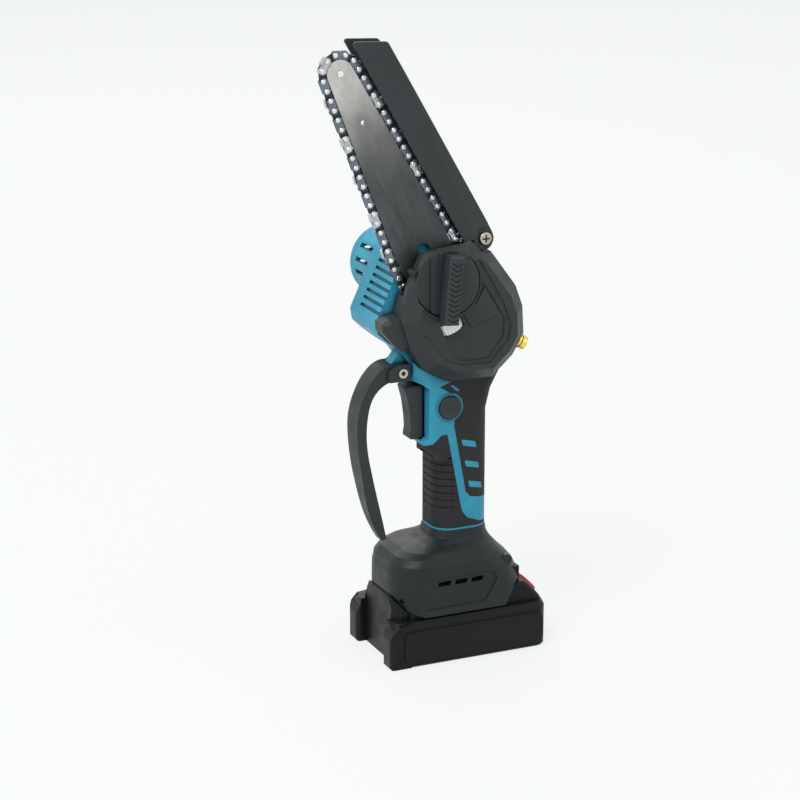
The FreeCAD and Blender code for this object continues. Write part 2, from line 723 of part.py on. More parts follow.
def motor_can():
    can = rod(*MOTOR, MOTOR_CAN_RADIUS, MOTOR_FRONT, MOTOR_BACK)
    can = can.cut(rod(*MOTOR, MOTOR_CAN_RADIUS - MOTOR_WALL, MOTOR_FRONT + MOTOR_WALL, MOTOR_BACK + 1))
    can = can.cut(rod(*MOTOR, 3.6, MOTOR_FRONT - 1, MOTOR_FRONT + 4))
    for angle in (30, 150, 270):
        x, z = polar(MOTOR, 10.5, angle)
        can = can.cut(rod(x, z, 2.4, MOTOR_FRONT - 1, MOTOR_FRONT + 3))
    return can


def polar(centre, radius, angle):
    return centre[0] + radius * cos(radians(angle)), centre[1] + radius * sin(radians(angle))


def motor_magnets():
    outer = MOTOR_CAN_RADIUS - MOTOR_WALL
    sleeve = ring(*MOTOR, outer, outer - MAGNET, MOTOR_FRONT + 5, MOTOR_BACK - 5)
    x, z = MOTOR
    gap = box(x - 30, x + 30, MOTOR_FRONT, MOTOR_BACK, z - 4, z + 4)
    return sleeve.cut(gap)


def motor_end_bell():
    y0, y1 = MOTOR_BACK, MOTOR_BACK + 5
    bell = rod(*MOTOR, MOTOR_CAN_RADIUS - 0.6, y0, y1)
    bell = bell.cut(rod(*MOTOR, 8.5, y0 - 1, y1 - 1.8))
    bell = bell.fuse(rod(*MOTOR, 4.5, y1 - 1.9, y1 + 2))
    bell = bell.cut(rod(*MOTOR, MOTOR_SHAFT_RADIUS + FIT, y0 - 1, y1 + 3))
    for angle in (45, 135, 225, 315):
        x, z = polar(MOTOR, 12.8, angle)
        bell = bell.cut(rod(x, z, 2.6, y0 - 1, y1 + 1))
    return bell


def motor_contacts():
    """Two solder tabs on the end bell and the two brushes behind it."""
    tab_y, brush_y = MOTOR_BACK + 5, MOTOR_BACK - 5.2
    x, z = MOTOR
    inner = COMMUTATOR_RADIUS + 0.1
    contacts = []
    for side in (-1, 1):
        contacts.append(box(x - 0.4, x + 0.4, tab_y, tab_y + 4.5, z + side * 11 - 2, z + side * 11 + 2))
        low, high = sorted((z + side * inner, z + side * (inner + 5.2)))
        contacts.append(box(x - 1.8, x + 1.8, brush_y, brush_y + 4.2, low, high))
    return Part.makeCompound(contacts)


def rotor_shaft():
    return rod(*MOTOR, MOTOR_SHAFT_RADIUS, GEAR_FACE - 0.6, MOTOR_BACK + 6.5)


def rotor_core():
    y0, y1 = MOTOR_FRONT + 9, MOTOR_BACK - 11
    core = rod(*MOTOR, ROTOR_RADIUS, y0, y1)
    for angle in (0, 72, 144, 216, 288):
        x, z = polar(MOTOR, ROTOR_RADIUS - 2.6, angle)
        core = core.cut(rod(x, z, 2.2, y0 - 1, y1 + 1))
        slit = box(-0.6, 0.6, y0 - 1, y1 + 1, ROTOR_RADIUS - 3, ROTOR_RADIUS + 1)
        slit.rotate(Vector(0, 0, 0), Vector(0, 1, 0), 90 - angle)
        slit.translate(Vector(MOTOR_X, 0, MOTOR_Z))
        core = core.cut(slit)
    return core.cut(rod(*MOTOR, MOTOR_SHAFT_RADIUS, y0 - 1, y1 + 1))


def rotor_windings():
    """End turns of the copper windings at both ends of the core, and the commutator."""
    y0, y1 = MOTOR_FRONT + 9, MOTOR_BACK - 11
    rings = [ring(*MOTOR, COMMUTATOR_RADIUS, MOTOR_SHAFT_RADIUS, MOTOR_BACK - 7, MOTOR_BACK - 0.8)]
    for low, high in ((y0 - 3.5, y0), (y1, y1 + 3.5)):
        rings.append(ring(*MOTOR, ROTOR_RADIUS - 1.5, MOTOR_SHAFT_RADIUS + 1.2, low, high))
    return Part.makeCompound(rings)


# ------------------------------------------------------------------ housing halves
PLANE_NORMAL = (-0.908, 0.418)      # of the ribbed face in front of the motor
PLANE_DISTANCE = 23.4               # from the motor's axis
RIB_COUNT = 7
RIB_PITCH = 4.95
RIB_START = -1.0                    # first groove, measured down the face
RIB_GROOVE = 2.0
RIB_DEPTH = 1.6
RIB_FAR = 21.5
FACE_BOTTOM = 34.5                  # lower end of the ribbed face
BARREL_START = 24.0
AIR_SLOTS = (255.0, 246.5, 238.5)   # heights of the slots in the barrel
AIR_SLOT_NEAR, AIR_SLOT_FAR = 35.0, 53.0
AIR_SLOT_HALF = 1.4


def on_ribbed_face(down, out=0.0):
    """Point on the ribbed face, measured down it from the foot of the motor's normal."""
    nx, nz = PLANE_NORMAL
    return (MOTOR_X + nx * (PLANE_DISTANCE + out) - nz * down,
            MOTOR_Z + nz * (PLANE_DISTANCE + out) + nx * down)


CASE_OUTLINE = [on_ribbed_face(-5.0), (-27.0, 263.5), (9.0, 266.5), (15.5, 260.5), (32.0, 238.0),
                (36.5, 225.0), (37.5, 207.0), (30.5, 194.0), (17.5, 182.5), (-20.0, 184.0),
                (-31.0, 190.0), (-37.3, 199.0), (-47.3, 207.0), (-53.5, 213.0), on_ribbed_face(FACE_BOTTOM)]
POD_OUTLINE = [on_ribbed_face(-5.0), (-30.0, 263.5), (-4.0, 262.5), (6.0, 245.0), (2.0, 214.0),
               (-24.0, 199.0), (-37.3, 199.0), (-47.3, 207.0), (-53.5, 213.0), on_ribbed_face(FACE_BOTTOM)]
CASE_ROUND = 3.0
POD_ROUND = 4.0
GRIP_FRONT = GRIP_CENTRE - GRIP_DEPTH / 2
GRIP_BACK = GRIP_CENTRE + GRIP_DEPTH / 2
GRIP_HALF = GRIP_WIDTH / 2
NECK_BASE = 128.0
NECK_OUTLINE = [(GRIP_FRONT, NECK_BASE), (GRIP_BACK, NECK_BASE), (GRIP_BACK, 158.0), (24.0, 171.0),
                (31.0, 184.0), (34.0, 199.0), (-31.0, 199.0), (-31.5, 181.0), (-25.5, 178.5),
                (TRIGGER_BACK, TRIGGER_TOP - 1.0), (TRIGGER_BACK, TRIGGER_BOTTOM + 1.5),
                (-24.8, TRIGGER_BOTTOM - 0.6), (-24.0, TRIGGER_BOTTOM - 3.5),
                (GRIP_FRONT, TRIGGER_BOTTOM - 8.0)]
NECK_CORE = [(-14.8, NECK_BASE), (19.2, NECK_BASE), (19.2, 158.5), (22.6, 171.5), (29.6, 184.5),
             (32.5, 199.0),
             (-31.0, 199.0), (-31.5, 181.0), (-25.5, 178.5), (TRIGGER_BACK, TRIGGER_TOP - 1.0),
             (TRIGGER_BACK, TRIGGER_BOTTOM + 1.5), (-24.8, TRIGGER_BOTTOM - 0.6),
             (-24.0, TRIGGER_BOTTOM - 3.5),
             (-14.8, TRIGGER_BOTTOM - 8.4)]
NECK_HOLLOW = [(-13.8, NECK_BASE), (18.2, NECK_BASE), (18.2, 158.5), (21.4, 171.5), (28.3, 184.5),
               (30.0, 196.0),
               (-28.5, 196.0), (-29.0, 183.0), (-19.0, 178.5), (-19.0, 137.5), (-13.8, 134.5)]
NECK_SECTIONS = [(-26.0, GRIP_BACK, NECK_BASE), (-26.0, GRIP_BACK, 158.0), (-26.0, 24.0, 171.0),
                 (-31.5, 31.0, 184.0), (-31.5, 34.0, 199.0)]    # front, back, height
COVER_GAP = 0.5             # between the sprocket cover and the neck below it
COVER_OUTLINE = [(-29.5, 264.5), (9.0, 268.5), (16.2, 262.0), (33.5, 238.5), (38.5, 225.0),
                 (39.5, 207.0), (32.0, 194.0), (18.0, 181.5), (-12.0, 181.5), (-28.0, 190.5),
                 (-38.5, 206.0), (-44.5, 224.0), (-38.8, 246.0)]
LOBE_OUTLINE = [(-34.0, 207.0), (-43.0, 203.5), (-55.0, 216.5), (-55.5, 222.0), (-51.0, 225.0),
                (-38.0, 226.0)]
SCREWS = [(-42.0, 213.0, 29.5), (-22.0, 190.5, 12.6), (9.0, 259.0, 12.6), (29.0, 231.5, 12.6),
          (27.0, 194.5, 12.6), (12.0, 178.5, 11.6), (12.8, 133.0, 11.6), (12.8, 98.0, 11.6),
          (-8.2, 125.0, 11.6), (-8.2, 98.0, 11.6)]      # X, Z and the seat of the head
FOOT_SCREWS = [(-37.0, 60.0), (27.5, 59.5)]
FOOT_SEAT = 24.5
BOSS_RADIUS = 3.6
SCREW_RADIUS = 1.5
SCREW_HEAD = 2.7
SCREW_HEAD_HEIGHT = 2.0
SCREW_FIT = 0.05
ROOT_INSET = 2.7            # the grip's lower end inside the foot
ROOT_BOTTOM = 71.0
ROOT_FLANGE = 73.6
PIVOT = (GUARD_PIVOT_X, GUARD_PIVOT_Z)
PIVOT_BOSS = 4.5
PIVOT_BOSS_END = -15.6
PLANE_CUT = 200.0           # half size of the boxes that split or trim a shape
BUTTON_CUP = 10.0
BUTTON_CUP_FLOOR = 8.0
BUTTON_STEM = 4.5
BUTTON_FIT = 0.25
BUTTON_HEAD_BACK = 14.5
BUTTON_SPRING_RADIUS = 6.2
SPRING_RIB_X = -4.0         # rib inside the housing that the trigger's spring pushes against
SPRING_Z = 172.5
GUARD_SCREW_RADIUS = 1.9
HAND_SCREW_RADIUS = 1.8
HAND_SCREW_HEAD = 3.0
STUD_END = CASE_FACE + SHELL_WALL - 0.2
CAP_WALL = 2.2


def on_side(edge, half):
    return all(abs(abs(v.Y) - half) < 1e-4 for v in edge.Vertexes)


def grip_prism(shrink, z0, z1):
    x0, x1 = GRIP_FRONT + shrink, GRIP_BACK - shrink
    return slab(rectangle(x0, x1, GRIP_HALF - shrink), z0, z1, GRIP_CORNER - shrink)


def neck(points, shrink):
    """Part between the grip and the gear case, its corners rounded like the grip's."""
    half = GRIP_HALF - shrink
    rounded = stack([section(x0 + shrink, x1 - shrink, half, GRIP_CORNER - shrink, z)
                     for x0, x1, z in NECK_SECTIONS])
    return plate(points, -half, half).common(rounded)


def near_side(shape, face=0.0):
    return shape.common(box(-PLANE_CUT, PLANE_CUT, -PLANE_CUT, face, -PLANE_CUT, 2 * PLANE_CUT))


def far_side(shape, face=0.0):
    return shape.common(box(-PLANE_CUT, PLANE_CUT, face, PLANE_CUT, -PLANE_CUT, 2 * PLANE_CUT))


def cover_room():
    """Space on the near side that the sprocket cover takes up, with its gap."""
    points = inset(COVER_OUTLINE, -COVER_GAP)
    return plate(points, -60, CASE_FACE)


def body_form(neck_points, shrink):
    """The grip, the neck and the gear case together."""
    handle = fuse([grip_prism(shrink, COLLAR_TOP, NECK_BASE + 12), neck(neck_points, shrink)])
    handle = handle.cut(cover_room())
    return fuse([handle, plate(CASE_OUTLINE, CASE_FACE, CASE_BACK, CASE_ROUND),
                 plate(POD_OUTLINE, 0, POD_BACK, POD_ROUND),
                 rod(*MOTOR, BARREL_RADIUS, BARREL_START, BARREL_JOINT)])


def housing_hollow():
    """Space inside both halves."""
    case = plate(inset(CASE_OUTLINE, SHELL_WALL), CASE_FACE + SHELL_WALL, CASE_BACK - SHELL_WALL)
    pod = plate(inset(POD_OUTLINE, SHELL_WALL), 0, POD_BACK - SHELL_WALL)
    barrel = rod(*MOTOR, BARREL_RADIUS - SHELL_WALL, 5, BARREL_JOINT + 1)
    half = GRIP_HALF - SHELL_WALL
    low = neck(NECK_HOLLOW, SHELL_WALL).common(box(-90, 90, -half, half, NECK_BASE, 177.5))
    high = neck(NECK_HOLLOW, SHELL_WALL).common(box(-90, 90, CASE_FACE + SHELL_WALL, half, 177, 300))
    return fuse([grip_prism(SHELL_WALL, COLLAR_TOP, NECK_BASE + 8), low, high, case, pod, barrel])


# Zones of the rubber skins seen from the side: below and in front of the strip, and behind it.
FRONT_ZONE = [(-30.0, 82.4), (-30.0, 136.5), (-19.5, 139.4), (-14.0, 145.2), (-9.9, 145.3), (0.4, 93.4),
              (4.2, 88.4), (14.0, 84.6), (30.0, 83.6), (30.0, 82.4)]
BACK_ZONE = [(30.0, 98.6), (14.6, 100.8), (6.0, 102.4), (3.0, 106.0), (-5.3, 150.4), (-5.0, 157.0),
             (-5.0, 169.0), (-10.1, 173.6), (-15.4, 176.8), (-7.5, 179.5), (-6.0, 220.0),
             (60.0, 220.0), (60.0, 98.6)]
SLIT = [(-8.4, 177.4), (-6.0, 177.0), (-1.1, 173.1), (-3.6, 172.8)]     # above the lock button
WINDOWS = [(-0.2, 140.8), (2.1, 126.8), (4.6, 113.0)]     # upper front corner of each window
WINDOW_WIDTH = 9.6
WINDOW_HEIGHT = 4.2
WINDOW_SLOPE = 0.24
WINDOW_LEAN = 1.0
GROOVE_LOW, GROOVE_HIGH, GROOVE_PITCH = 96.0, 131.0, 4.7
GROOVE_WIDTH, GROOVE_CUT = 0.9, 0.5


def skin_zone():
    zone = fuse([plate(FRONT_ZONE, -30, 30), plate(BACK_ZONE, -30, 30)])
    drop = WINDOW_WIDTH * WINDOW_SLOPE
    for front, top in WINDOWS:
        back = front + WINDOW_WIDTH
        window = [(front, top), (back, top - drop), (back + WINDOW_LEAN, top - drop - WINDOW_HEIGHT),
                  (front + WINDOW_LEAN, top - WINDOW_HEIGHT)]
        zone = zone.cut(plate(window, -30, 30, 0.5))
    zone = zone.cut(plate(SLIT, -30, 30, 0.3))
    return zone.cut(rod(BUTTON_X, BUTTON_Z, BUTTON_RING + 0.5, -30, 30))


def finger_grooves():
    """Fine grooves across the front of the grip's skin."""
    cuts = []
    level = GROOVE_LOW
    while level < GROOVE_HIGH:
        cuts.append(grip_prism(-1, level, level + GROOVE_WIDTH).cut(
            grip_prism(GROOVE_CUT, level - 1, level + GROOVE_WIDTH + 1)))
        level += GROOVE_PITCH
    return Part.makeCompound(cuts).common(box(-40, -5, -30, 30, 80, 140))


def grooves_and_slots():
    """Grooves of the ribbed face, open at its near edge, and the air slots of the barrel."""
    cuts = []
    nx, nz = PLANE_NORMAL
    tilt = degrees(atan2(nz, -nx))
    for i in range(RIB_COUNT):
        groove = box(-3, RIB_DEPTH, CASE_FACE - 1, RIB_FAR, -RIB_GROOVE / 2, RIB_GROOVE / 2)
        groove.rotate(Vector(0, 0, 0), Vector(0, 1, 0), tilt)
        x, z = on_ribbed_face(RIB_START + RIB_PITCH * i)
        groove.translate(Vector(x, 0, z))
        cuts.append(groove)
    for height in AIR_SLOTS:
        cuts.append(box(MOTOR_X - BARREL_RADIUS - 2, MOTOR_X - 12, AIR_SLOT_NEAR, AIR_SLOT_FAR,
                        height - AIR_SLOT_HALF, height + AIR_SLOT_HALF))
    return Part.makeCompound(cuts)


def lug():
    """Tongue on the housing that the hand guard is screwed to."""
    points = [(-43.5, 182.5), (-29.0, 182.5), (-29.0, 196.0), (-37.0, 200.0), (-43.5, 191.5)]
    tongue = plate(points, -LUG_HALF_WIDTH, LUG_HALF_WIDTH, 1.2)
    case = plate(inset(CASE_OUTLINE, SHELL_WALL), CASE_FACE + SHELL_WALL, CASE_BACK - SHELL_WALL)
    return tongue.cut(plate(NECK_HOLLOW, -LUG_HALF_WIDTH - 1, LUG_HALF_WIDTH + 1)).cut(case)


def bar_pad():
    """Raised flat that the bar's tail is clamped against."""
    inside = belt_solid(-1.5, BAR_FAR, CASE_FACE + 0.5)
    reach = SHOULDER_HALF_WIDTH + 10
    return inside.common(bar_box(BAR_TAIL + 4, SLOT_END + 2, -reach, reach, BAR_FAR - 1, CASE_FACE + 1))


def button_cups():
    """Guides of the lock button on both sides, each with a floor for its spring."""
    reach = GRIP_HALF - 1
    cups = []
    for side in (-1, 1):
        low, high = sorted((side * BUTTON_CUP_FLOOR, side * reach))
        cups.append(rod(BUTTON_X, BUTTON_Z, BUTTON_CUP, low, high).common(plate(NECK_OUTLINE, -30, 30)))
        low, high = sorted((side * (GRIP_HALF - 2), side * (GRIP_HALF + 0.6)))
        cups.append(rod(BUTTON_X, BUTTON_Z, BUTTON_RING, low, high))
    return cups


def button_bores():
    bores = [rod(BUTTON_X, BUTTON_Z, BUTTON_STEM + 0.3, -20, 20)]
    for side in (-1, 1):
        low, high = sorted((side * (BUTTON_CUP_FLOOR + 1.2), side * 30))
        bores.append(rod(BUTTON_X, BUTTON_Z, BUTTON_RADIUS + BUTTON_FIT, low, high))
    return bores


def pivot_lug():
    """Lug above the gear case with the boss that the bar guard turns on."""
    px, pz = PIVOT
    cheek = fuse([rod(px, pz, 5.5, CASE_FACE, -2), plate([(px - 5.4, pz - 0.5), (px + 3.6, pz - 4.0),
                  (px - 2, 258.0), (px - 9, 260.0)], CASE_FACE, -2)])
    return fuse([cheek, rod(px, pz, PIVOT_BOSS, PIVOT_BOSS_END, -3)])


def housing():
    """Both housing halves and both rubber skins, by name."""
    form = body_form(NECK_OUTLINE, 0)
    core = body_form(NECK_CORE, SKIN)
    layer = form.cut(core).common(skin_zone())
    skins = layer.cut(finger_grooves())
    shell = form.cut(housing_hollow())
    bosses = [rod(x, z, BOSS_RADIUS, CASE_FACE + 1 if z > 182 else 1.8 - GRIP_HALF, seat + 2.8).common(core)
              for x, z, seat in SCREWS]
    root = fuse([grip_prism(ROOT_INSET, ROOT_BOTTOM, COLLAR_TOP + 1),
                 grip_prism(0.5, ROOT_BOTTOM, ROOT_FLANGE),
                 grip_prism(SKIN + 0.1, COLLAR_TOP, COLLAR_TOP + 6)])
    root = root.cut(grip_prism(ROOT_INSET + SHELL_WALL, ROOT_BOTTOM - 1, COLLAR_TOP + 7))
    bearing_boss = rod(*SPROCKET, BEARING_RADIUS + 2.2, NEAR_BEARING_FACE - 0.1, GEAR_FACE - 0.4)
    spring_rib = box(SPRING_RIB_X, SPRING_RIB_X + 2, 1 - GRIP_HALF, GRIP_HALF - 1, 169.5, 176)
    shell = fuse([shell, root, lug(), bar_pad(), bearing_boss, spring_rib,
                  pivot_lug()] + bosses + button_cups())
    shell = shell.cut(layer).cut(grooves_and_slots())
    opening = TRIGGER_HALF_WIDTH + 0.4
    shell = shell.cut(box(-40, -13.6, -opening, opening, TRIGGER_BOTTOM - 0.4, TRIGGER_TOP + 0.4))
    for bore in button_bores():
        shell = shell.cut(bore)
    shell = shell.cut(rod(*SPROCKET, BEARING_RADIUS, NEAR_BEARING_FACE - 1, 0))
    shell = shell.cut(rod(*STUD, STUD_RADIUS, BAR_FAR - 1, STUD_END))
    shell = shell.cut(rod(*IDLER, IDLER_PIN_RADIUS, IDLER_PIN_END, 0))
    shell = shell.cut(rod(*PIVOT, GUARD_SCREW_RADIUS, -20, -4))
    shell = shell.cut(rod(LUG_X, LUG_Z, HAND_SCREW_RADIUS, -20, 20))
    for x, z, seat in SCREWS:
        shell = shell.cut(rod(x, z, SCREW_RADIUS + SCREW_FIT, screw_tip(z) - 0.3, seat + 1))
        shell = shell.cut(rod(x, z, SCREW_HEAD + 0.2, seat, 60))
        skins = skins.cut(rod(x, z, SCREW_HEAD + 0.2, seat, 60))
    return {"left_housing": near_side(shell), "right_housing": far_side(shell),
            "left_grip": near_side(skins), "right_grip": far_side(skins)}


def screw_tip(z):
    return -4.8 if z > 182 else -9.0


def gear_plate():
    """Aluminium plate between the gears and the motor; it holds the far bearing."""
    points = inset(CASE_OUTLINE, SHELL_WALL + 0.5)
    wide = plate(points, GEAR_PLATE_FACE, GEAR_PLATE_BACK, 3)
    wide = wide.cut(rod(*SPROCKET, BEARING_RADIUS, GEAR_PLATE_FACE - 1, GEAR_PLATE_FACE + BEARING_WIDTH))
    wide = wide.cut(rod(*SPROCKET, SHAFT_RADIUS + 1, GEAR_PLATE_FACE, GEAR_PLATE_BACK + 1))
    wide = wide.cut(rod(*MOTOR, 3.6, GEAR_PLATE_FACE - 1, GEAR_PLATE_BACK + 1))
    for x, z, _ in SCREWS:
        wide = wide.cut(rod(x, z, BOSS_RADIUS + 0.3, GEAR_PLATE_FACE - 1, GEAR_PLATE_BACK + 1))
    return wide.cut(rod(*IDLER, IDLER_PIN_RADIUS, GEAR_PLATE_FACE - 1, GEAR_PLATE_FACE + 3))


def housing_screws():
    """Screws of the housing and of the foot."""
    screws = []
    places = [(x, z, screw_tip(z), seat) for x, z, seat in SCREWS]
    places += [(x, z, -19, FOOT_SEAT) for x, z in FOOT_SCREWS]
    for x, z, tip, seat in places:
        shank = rod(x, z, SCREW_RADIUS, tip, seat + 0.5)
        head = rod(x, z, SCREW_HEAD, seat, seat + SCREW_HEAD_HEIGHT)
        slot = box(x - 1.5, x + 1.5, seat + 1.2, seat + 3, z - 0.4, z + 0.4)
        cross = box(x - 0.4, x + 0.4, seat + 1.2, seat + 3, z - 1.5, z + 1.5)
        screws.append(shank.fuse(head).cut(slot).cut(cross))
    return Part.makeCompound(screws)


def motor_cap():
    """Cap over the end of the motor, with air slots."""
    inner = BARREL_RADIUS - CAP_WALL
    cap = rod(*MOTOR, BARREL_RADIUS, BARREL_JOINT + 0.1, BARREL_END)
    cap = round_edges(cap, 2.5, lambda e: on_side(e, BARREL_END))
    cap = cap.cut(rod(*MOTOR, inner, BARREL_JOINT, BARREL_END - CAP_WALL))
    lip = ring(*MOTOR, BARREL_RADIUS - SHELL_WALL - 0.05, BARREL_RADIUS - SHELL_WALL - 0.85,
               BARREL_JOINT - 3,
               BARREL_JOINT + 2)
    collar = ring(*MOTOR, inner + 0.5, BARREL_RADIUS - SHELL_WALL - 0.85, BARREL_JOINT + 0.1,
                  BARREL_JOINT + 2)
    cap = fuse([cap, lip, collar])
    for i in range(-3, 4):
        half = sqrt(17.0 ** 2 - (4.4 * i) ** 2)
        cap = cap.cut(box(MOTOR_X - half, MOTOR_X + half, BARREL_END - 4, BARREL_END + 1,
                          MOTOR_Z + 4.4 * i - 1.0, MOTOR_Z + 4.4 * i + 1.0))
    return cap


# ------------------------------------------------------------------ foot
SKIRT_INNER = PACK_DECK_WIDTH / 2 + SKIRT_GAP
FOOT_FLAT = SKIRT_INNER + SKIRT_WALL        # half width over the skirts
# Each section: X from, to, half width, corner radius, height.
FOOT_SECTIONS = [(FOOT_FRONT, FOOT_BACK, FOOT_FLAT, FOOT_CORNER, FOOT_SKIRT),
                 (FOOT_FRONT, 43.4, FOOT_FLAT, FOOT_CORNER, 45.0),
                 (-48.8, 37.5, FOOT_FLAT, FOOT_CORNER, 57.0),
                 (-47.3, 31.8, FOOT_FLAT - 0.6, 21.0, 63.5), (-43.5, 27.2, FOOT_FLAT - 2.4, 19.0, 67.7),
                 (-37.5, 24.6, FOOT_FLAT - 5.4, 17.0, 70.6), (-25.4, 22.8, 20.4, 14.4, 73.4),
                 (-18.2, 21.7, 17.6, 12.7, 76.2),
                 (GRIP_FRONT - 0.3, GRIP_BACK + 0.3, GRIP_HALF + 0.3, GRIP_CORNER + 0.3, COLLAR_TOP)]
FOOT_EDGE = [(-70.0, 20.0), (-70.0, FOOT_LIP), (FOOT_FRONT, FOOT_LIP), (-48.4, 42.0), (-46.2, 39.0),
             (-42.8, 35.7), (-38.0, 32.8), (-31.0, FOOT_SKIRT), (25.0, FOOT_SKIRT), (28.0, 35.0),
             (34.5, 45.0), (70.0, 46.0), (70.0, 20.0)]
RAIL_LOW, RAIL_HIGH = 36.9, 39.1
RAIL_REACH = PACK_DECK_WIDTH / 2 - 1.2      # inner edge of the rails
ROOM_TOP = TONGUE_TOP + SLIDE_GAP
ROOM_HALF = TONGUE_WIDTH / 2 + SLIDE_GAP
CEILING = ROOM_TOP + SHELL_WALL
FOOT_CAVITY = [(-44.8, 33.5, FOOT_FLAT - 3.6, 18.5, CEILING), (-43.6, 29.5, FOOT_FLAT - 4.2, 18.0, 61.0),
               (-38.0, 23.6, FOOT_FLAT - 7.6, 15.5, 66.6), (-26.0, 20.4, 17.6, 12.5, 70.2)]
# Panel sunk into each skirt.
FOOT_PANEL = [(-38.0, 55.5), (16.0, 56.0), (19.0, 50.0), (10.5, 36.0), (-38.0, 35.0)]
FOOT_PANEL_DEPTH = 0.7
BLOCK_FRONT, BLOCK_BACK, BLOCK_HALF, BLOCK_TOP = -43.0, -20.9, 18.0, 57.0
FOOT_HOLES = [(-44.1, 22.85, 41.0, 39.0), (30.6, FOOT_FLAT, 53.4, 90.0)]    # blind: X, Y, Z and their turn
FOOT_HOLE_DEPTH = 2.0
FOOT_HOLE_RADIUS = 1.7
VENT_Z, VENT_HEIGHT = 51.6, 3.2
VENT_SLANT = 1.0
VENTS = [(-22.5, -12.8), (-10.8, -1.4), (0.6, 9.6)]


def vent(x0, x1):
    """Vent in a skirt, its ends slanted."""
    low, high = VENT_Z - VENT_HEIGHT / 2, VENT_Z + VENT_HEIGHT / 2
    return [(x0, low), (x1 - VENT_SLANT, low), (x1, high), (x0 + VENT_SLANT, high)]


def pack_room(shrink, top):
    """Space inside the skirts, rounded at the front like the foot."""
    corner = FOOT_CORNER - SKIRT_WALL - shrink
    return slab(rectangle(FOOT_FRONT + SKIRT_WALL + shrink, 90, SKIRT_INNER - shrink), 20, top, corner)


def foot():
    """Foot that the pack slides under, in two halves."""
    body = stack([section(*values) for values in FOOT_SECTIONS])
    body = body.cut(stack([section(*values) for values in FOOT_CAVITY]))
    body = body.cut(plate(FOOT_EDGE, -40, 40))
    body = body.cut(pack_room(0, PACK_DECK + SLIDE_GAP))
    rails = [box(-36, 22, *sorted((side * RAIL_REACH, side * (SKIRT_INNER + 1))), RAIL_LOW, RAIL_HIGH)
             for side in (-1, 1)]
    bosses = [rod(x, z, BOSS_RADIUS, -27, 27) for x, z in FOOT_SCREWS]
    body = fuse([body] + rails + bosses)
    body = body.cut(box(BLOCK_BACK, 70, -ROOM_HALF, ROOM_HALF, 40, ROOM_TOP))
    body = body.cut(box(BLOCK_FRONT - 0.2, BLOCK_BACK + 1, -BLOCK_HALF - 0.2, BLOCK_HALF + 0.2, 40,
                        BLOCK_TOP + 0.2))
    body = body.cut(grip_prism(ROOT_INSET, ROOT_BOTTOM - 1, COLLAR_TOP + 1))
    body = body.cut(grip_prism(0.5, ROOT_BOTTOM - 2, ROOT_FLANGE))
    for side in (-1, 1):
        low, high = sorted((side * (FOOT_FLAT - 5.4), side * (FOOT_FLAT - 2.6)))
        body = body.cut(box(-25, 12, low, high, 46.5, 57))
        low, high = sorted((side * (FOOT_FLAT - 4), side * (FOOT_FLAT + 9)))
        for x0, x1 in VENTS:
            body = body.cut(plate(vent(x0, x1), low, high))
        for x, y, z, turn in FOOT_HOLES:
            out = Vector(-cos(radians(turn)), side * sin(radians(turn)), 0)
            start = Vector(x, side * y, z) - out * FOOT_HOLE_DEPTH
            body = body.cut(Part.makeCylinder(FOOT_HOLE_RADIUS, 8, start, out))
        low, high = sorted((side * (FOOT_FLAT - FOOT_PANEL_DEPTH), side * (FOOT_FLAT + 9)))
        body = body.cut(plate(FOOT_PANEL, low, high, 2.5))
    for x, z in FOOT_SCREWS:
        body = body.cut(rod(x, z, SCREW_RADIUS + SCREW_FIT, -20, 30))
        body = body.cut(rod(x, z, SCREW_HEAD + 0.2, FOOT_SEAT, 60))
    return {"left_foot": near_side(body), "right_foot": far_side(body)}


# ------------------------------------------------------------------ hand guard
BOW_OUTER = [(-40.0, 191.8), (-48.5, 191.2), (-55.7, 185.6), (-62.6, 174.6), (-67.0, 160.8), (-67.4, 145.0),
             (-63.4, 116.0), (-56.0, 88.5), (-49.6, 76.4)]      # from the lug down to the free tip
BOW_INNER = [(-46.2, 77.4), (-49.4, 90.5), (-56.8, 119.0), (-61.2, 145.0), (-60.3, 161.0), (-55.8, 173.8),
             (-49.0, 179.8), (-36.5, 181.5)]
BOW_TIP_HALF = 4.0


def bow_front(grow):
    """Front view of the hand guard: full width above, narrower towards its tip."""
    wide, slim = BOW_HALF_WIDTH + grow, BOW_TIP_HALF + grow
    points = [(-slim, 60.0), (slim, 60.0), (slim, 82.0), (wide, 125.0), (wide, 200.0), (-wide, 200.0),
              (-wide, 125.0), (-slim, 82.0)]
    face = Part.Face(outline(points, 0.0, lambda p: Vector(-90, p[0], p[1])))
    return face.extrude(Vector(80, 0, 0))


def curve(points):
    line = Part.BSplineCurve()
    line.interpolate([Vector(x, -BOW_HALF_WIDTH, z) for x, z in points])
    return line.toShape()


def straight(start, end):
    return Part.makeLine(Vector(start[0], -BOW_HALF_WIDTH, start[1]),
                         Vector(end[0], -BOW_HALF_WIDTH, end[1]))


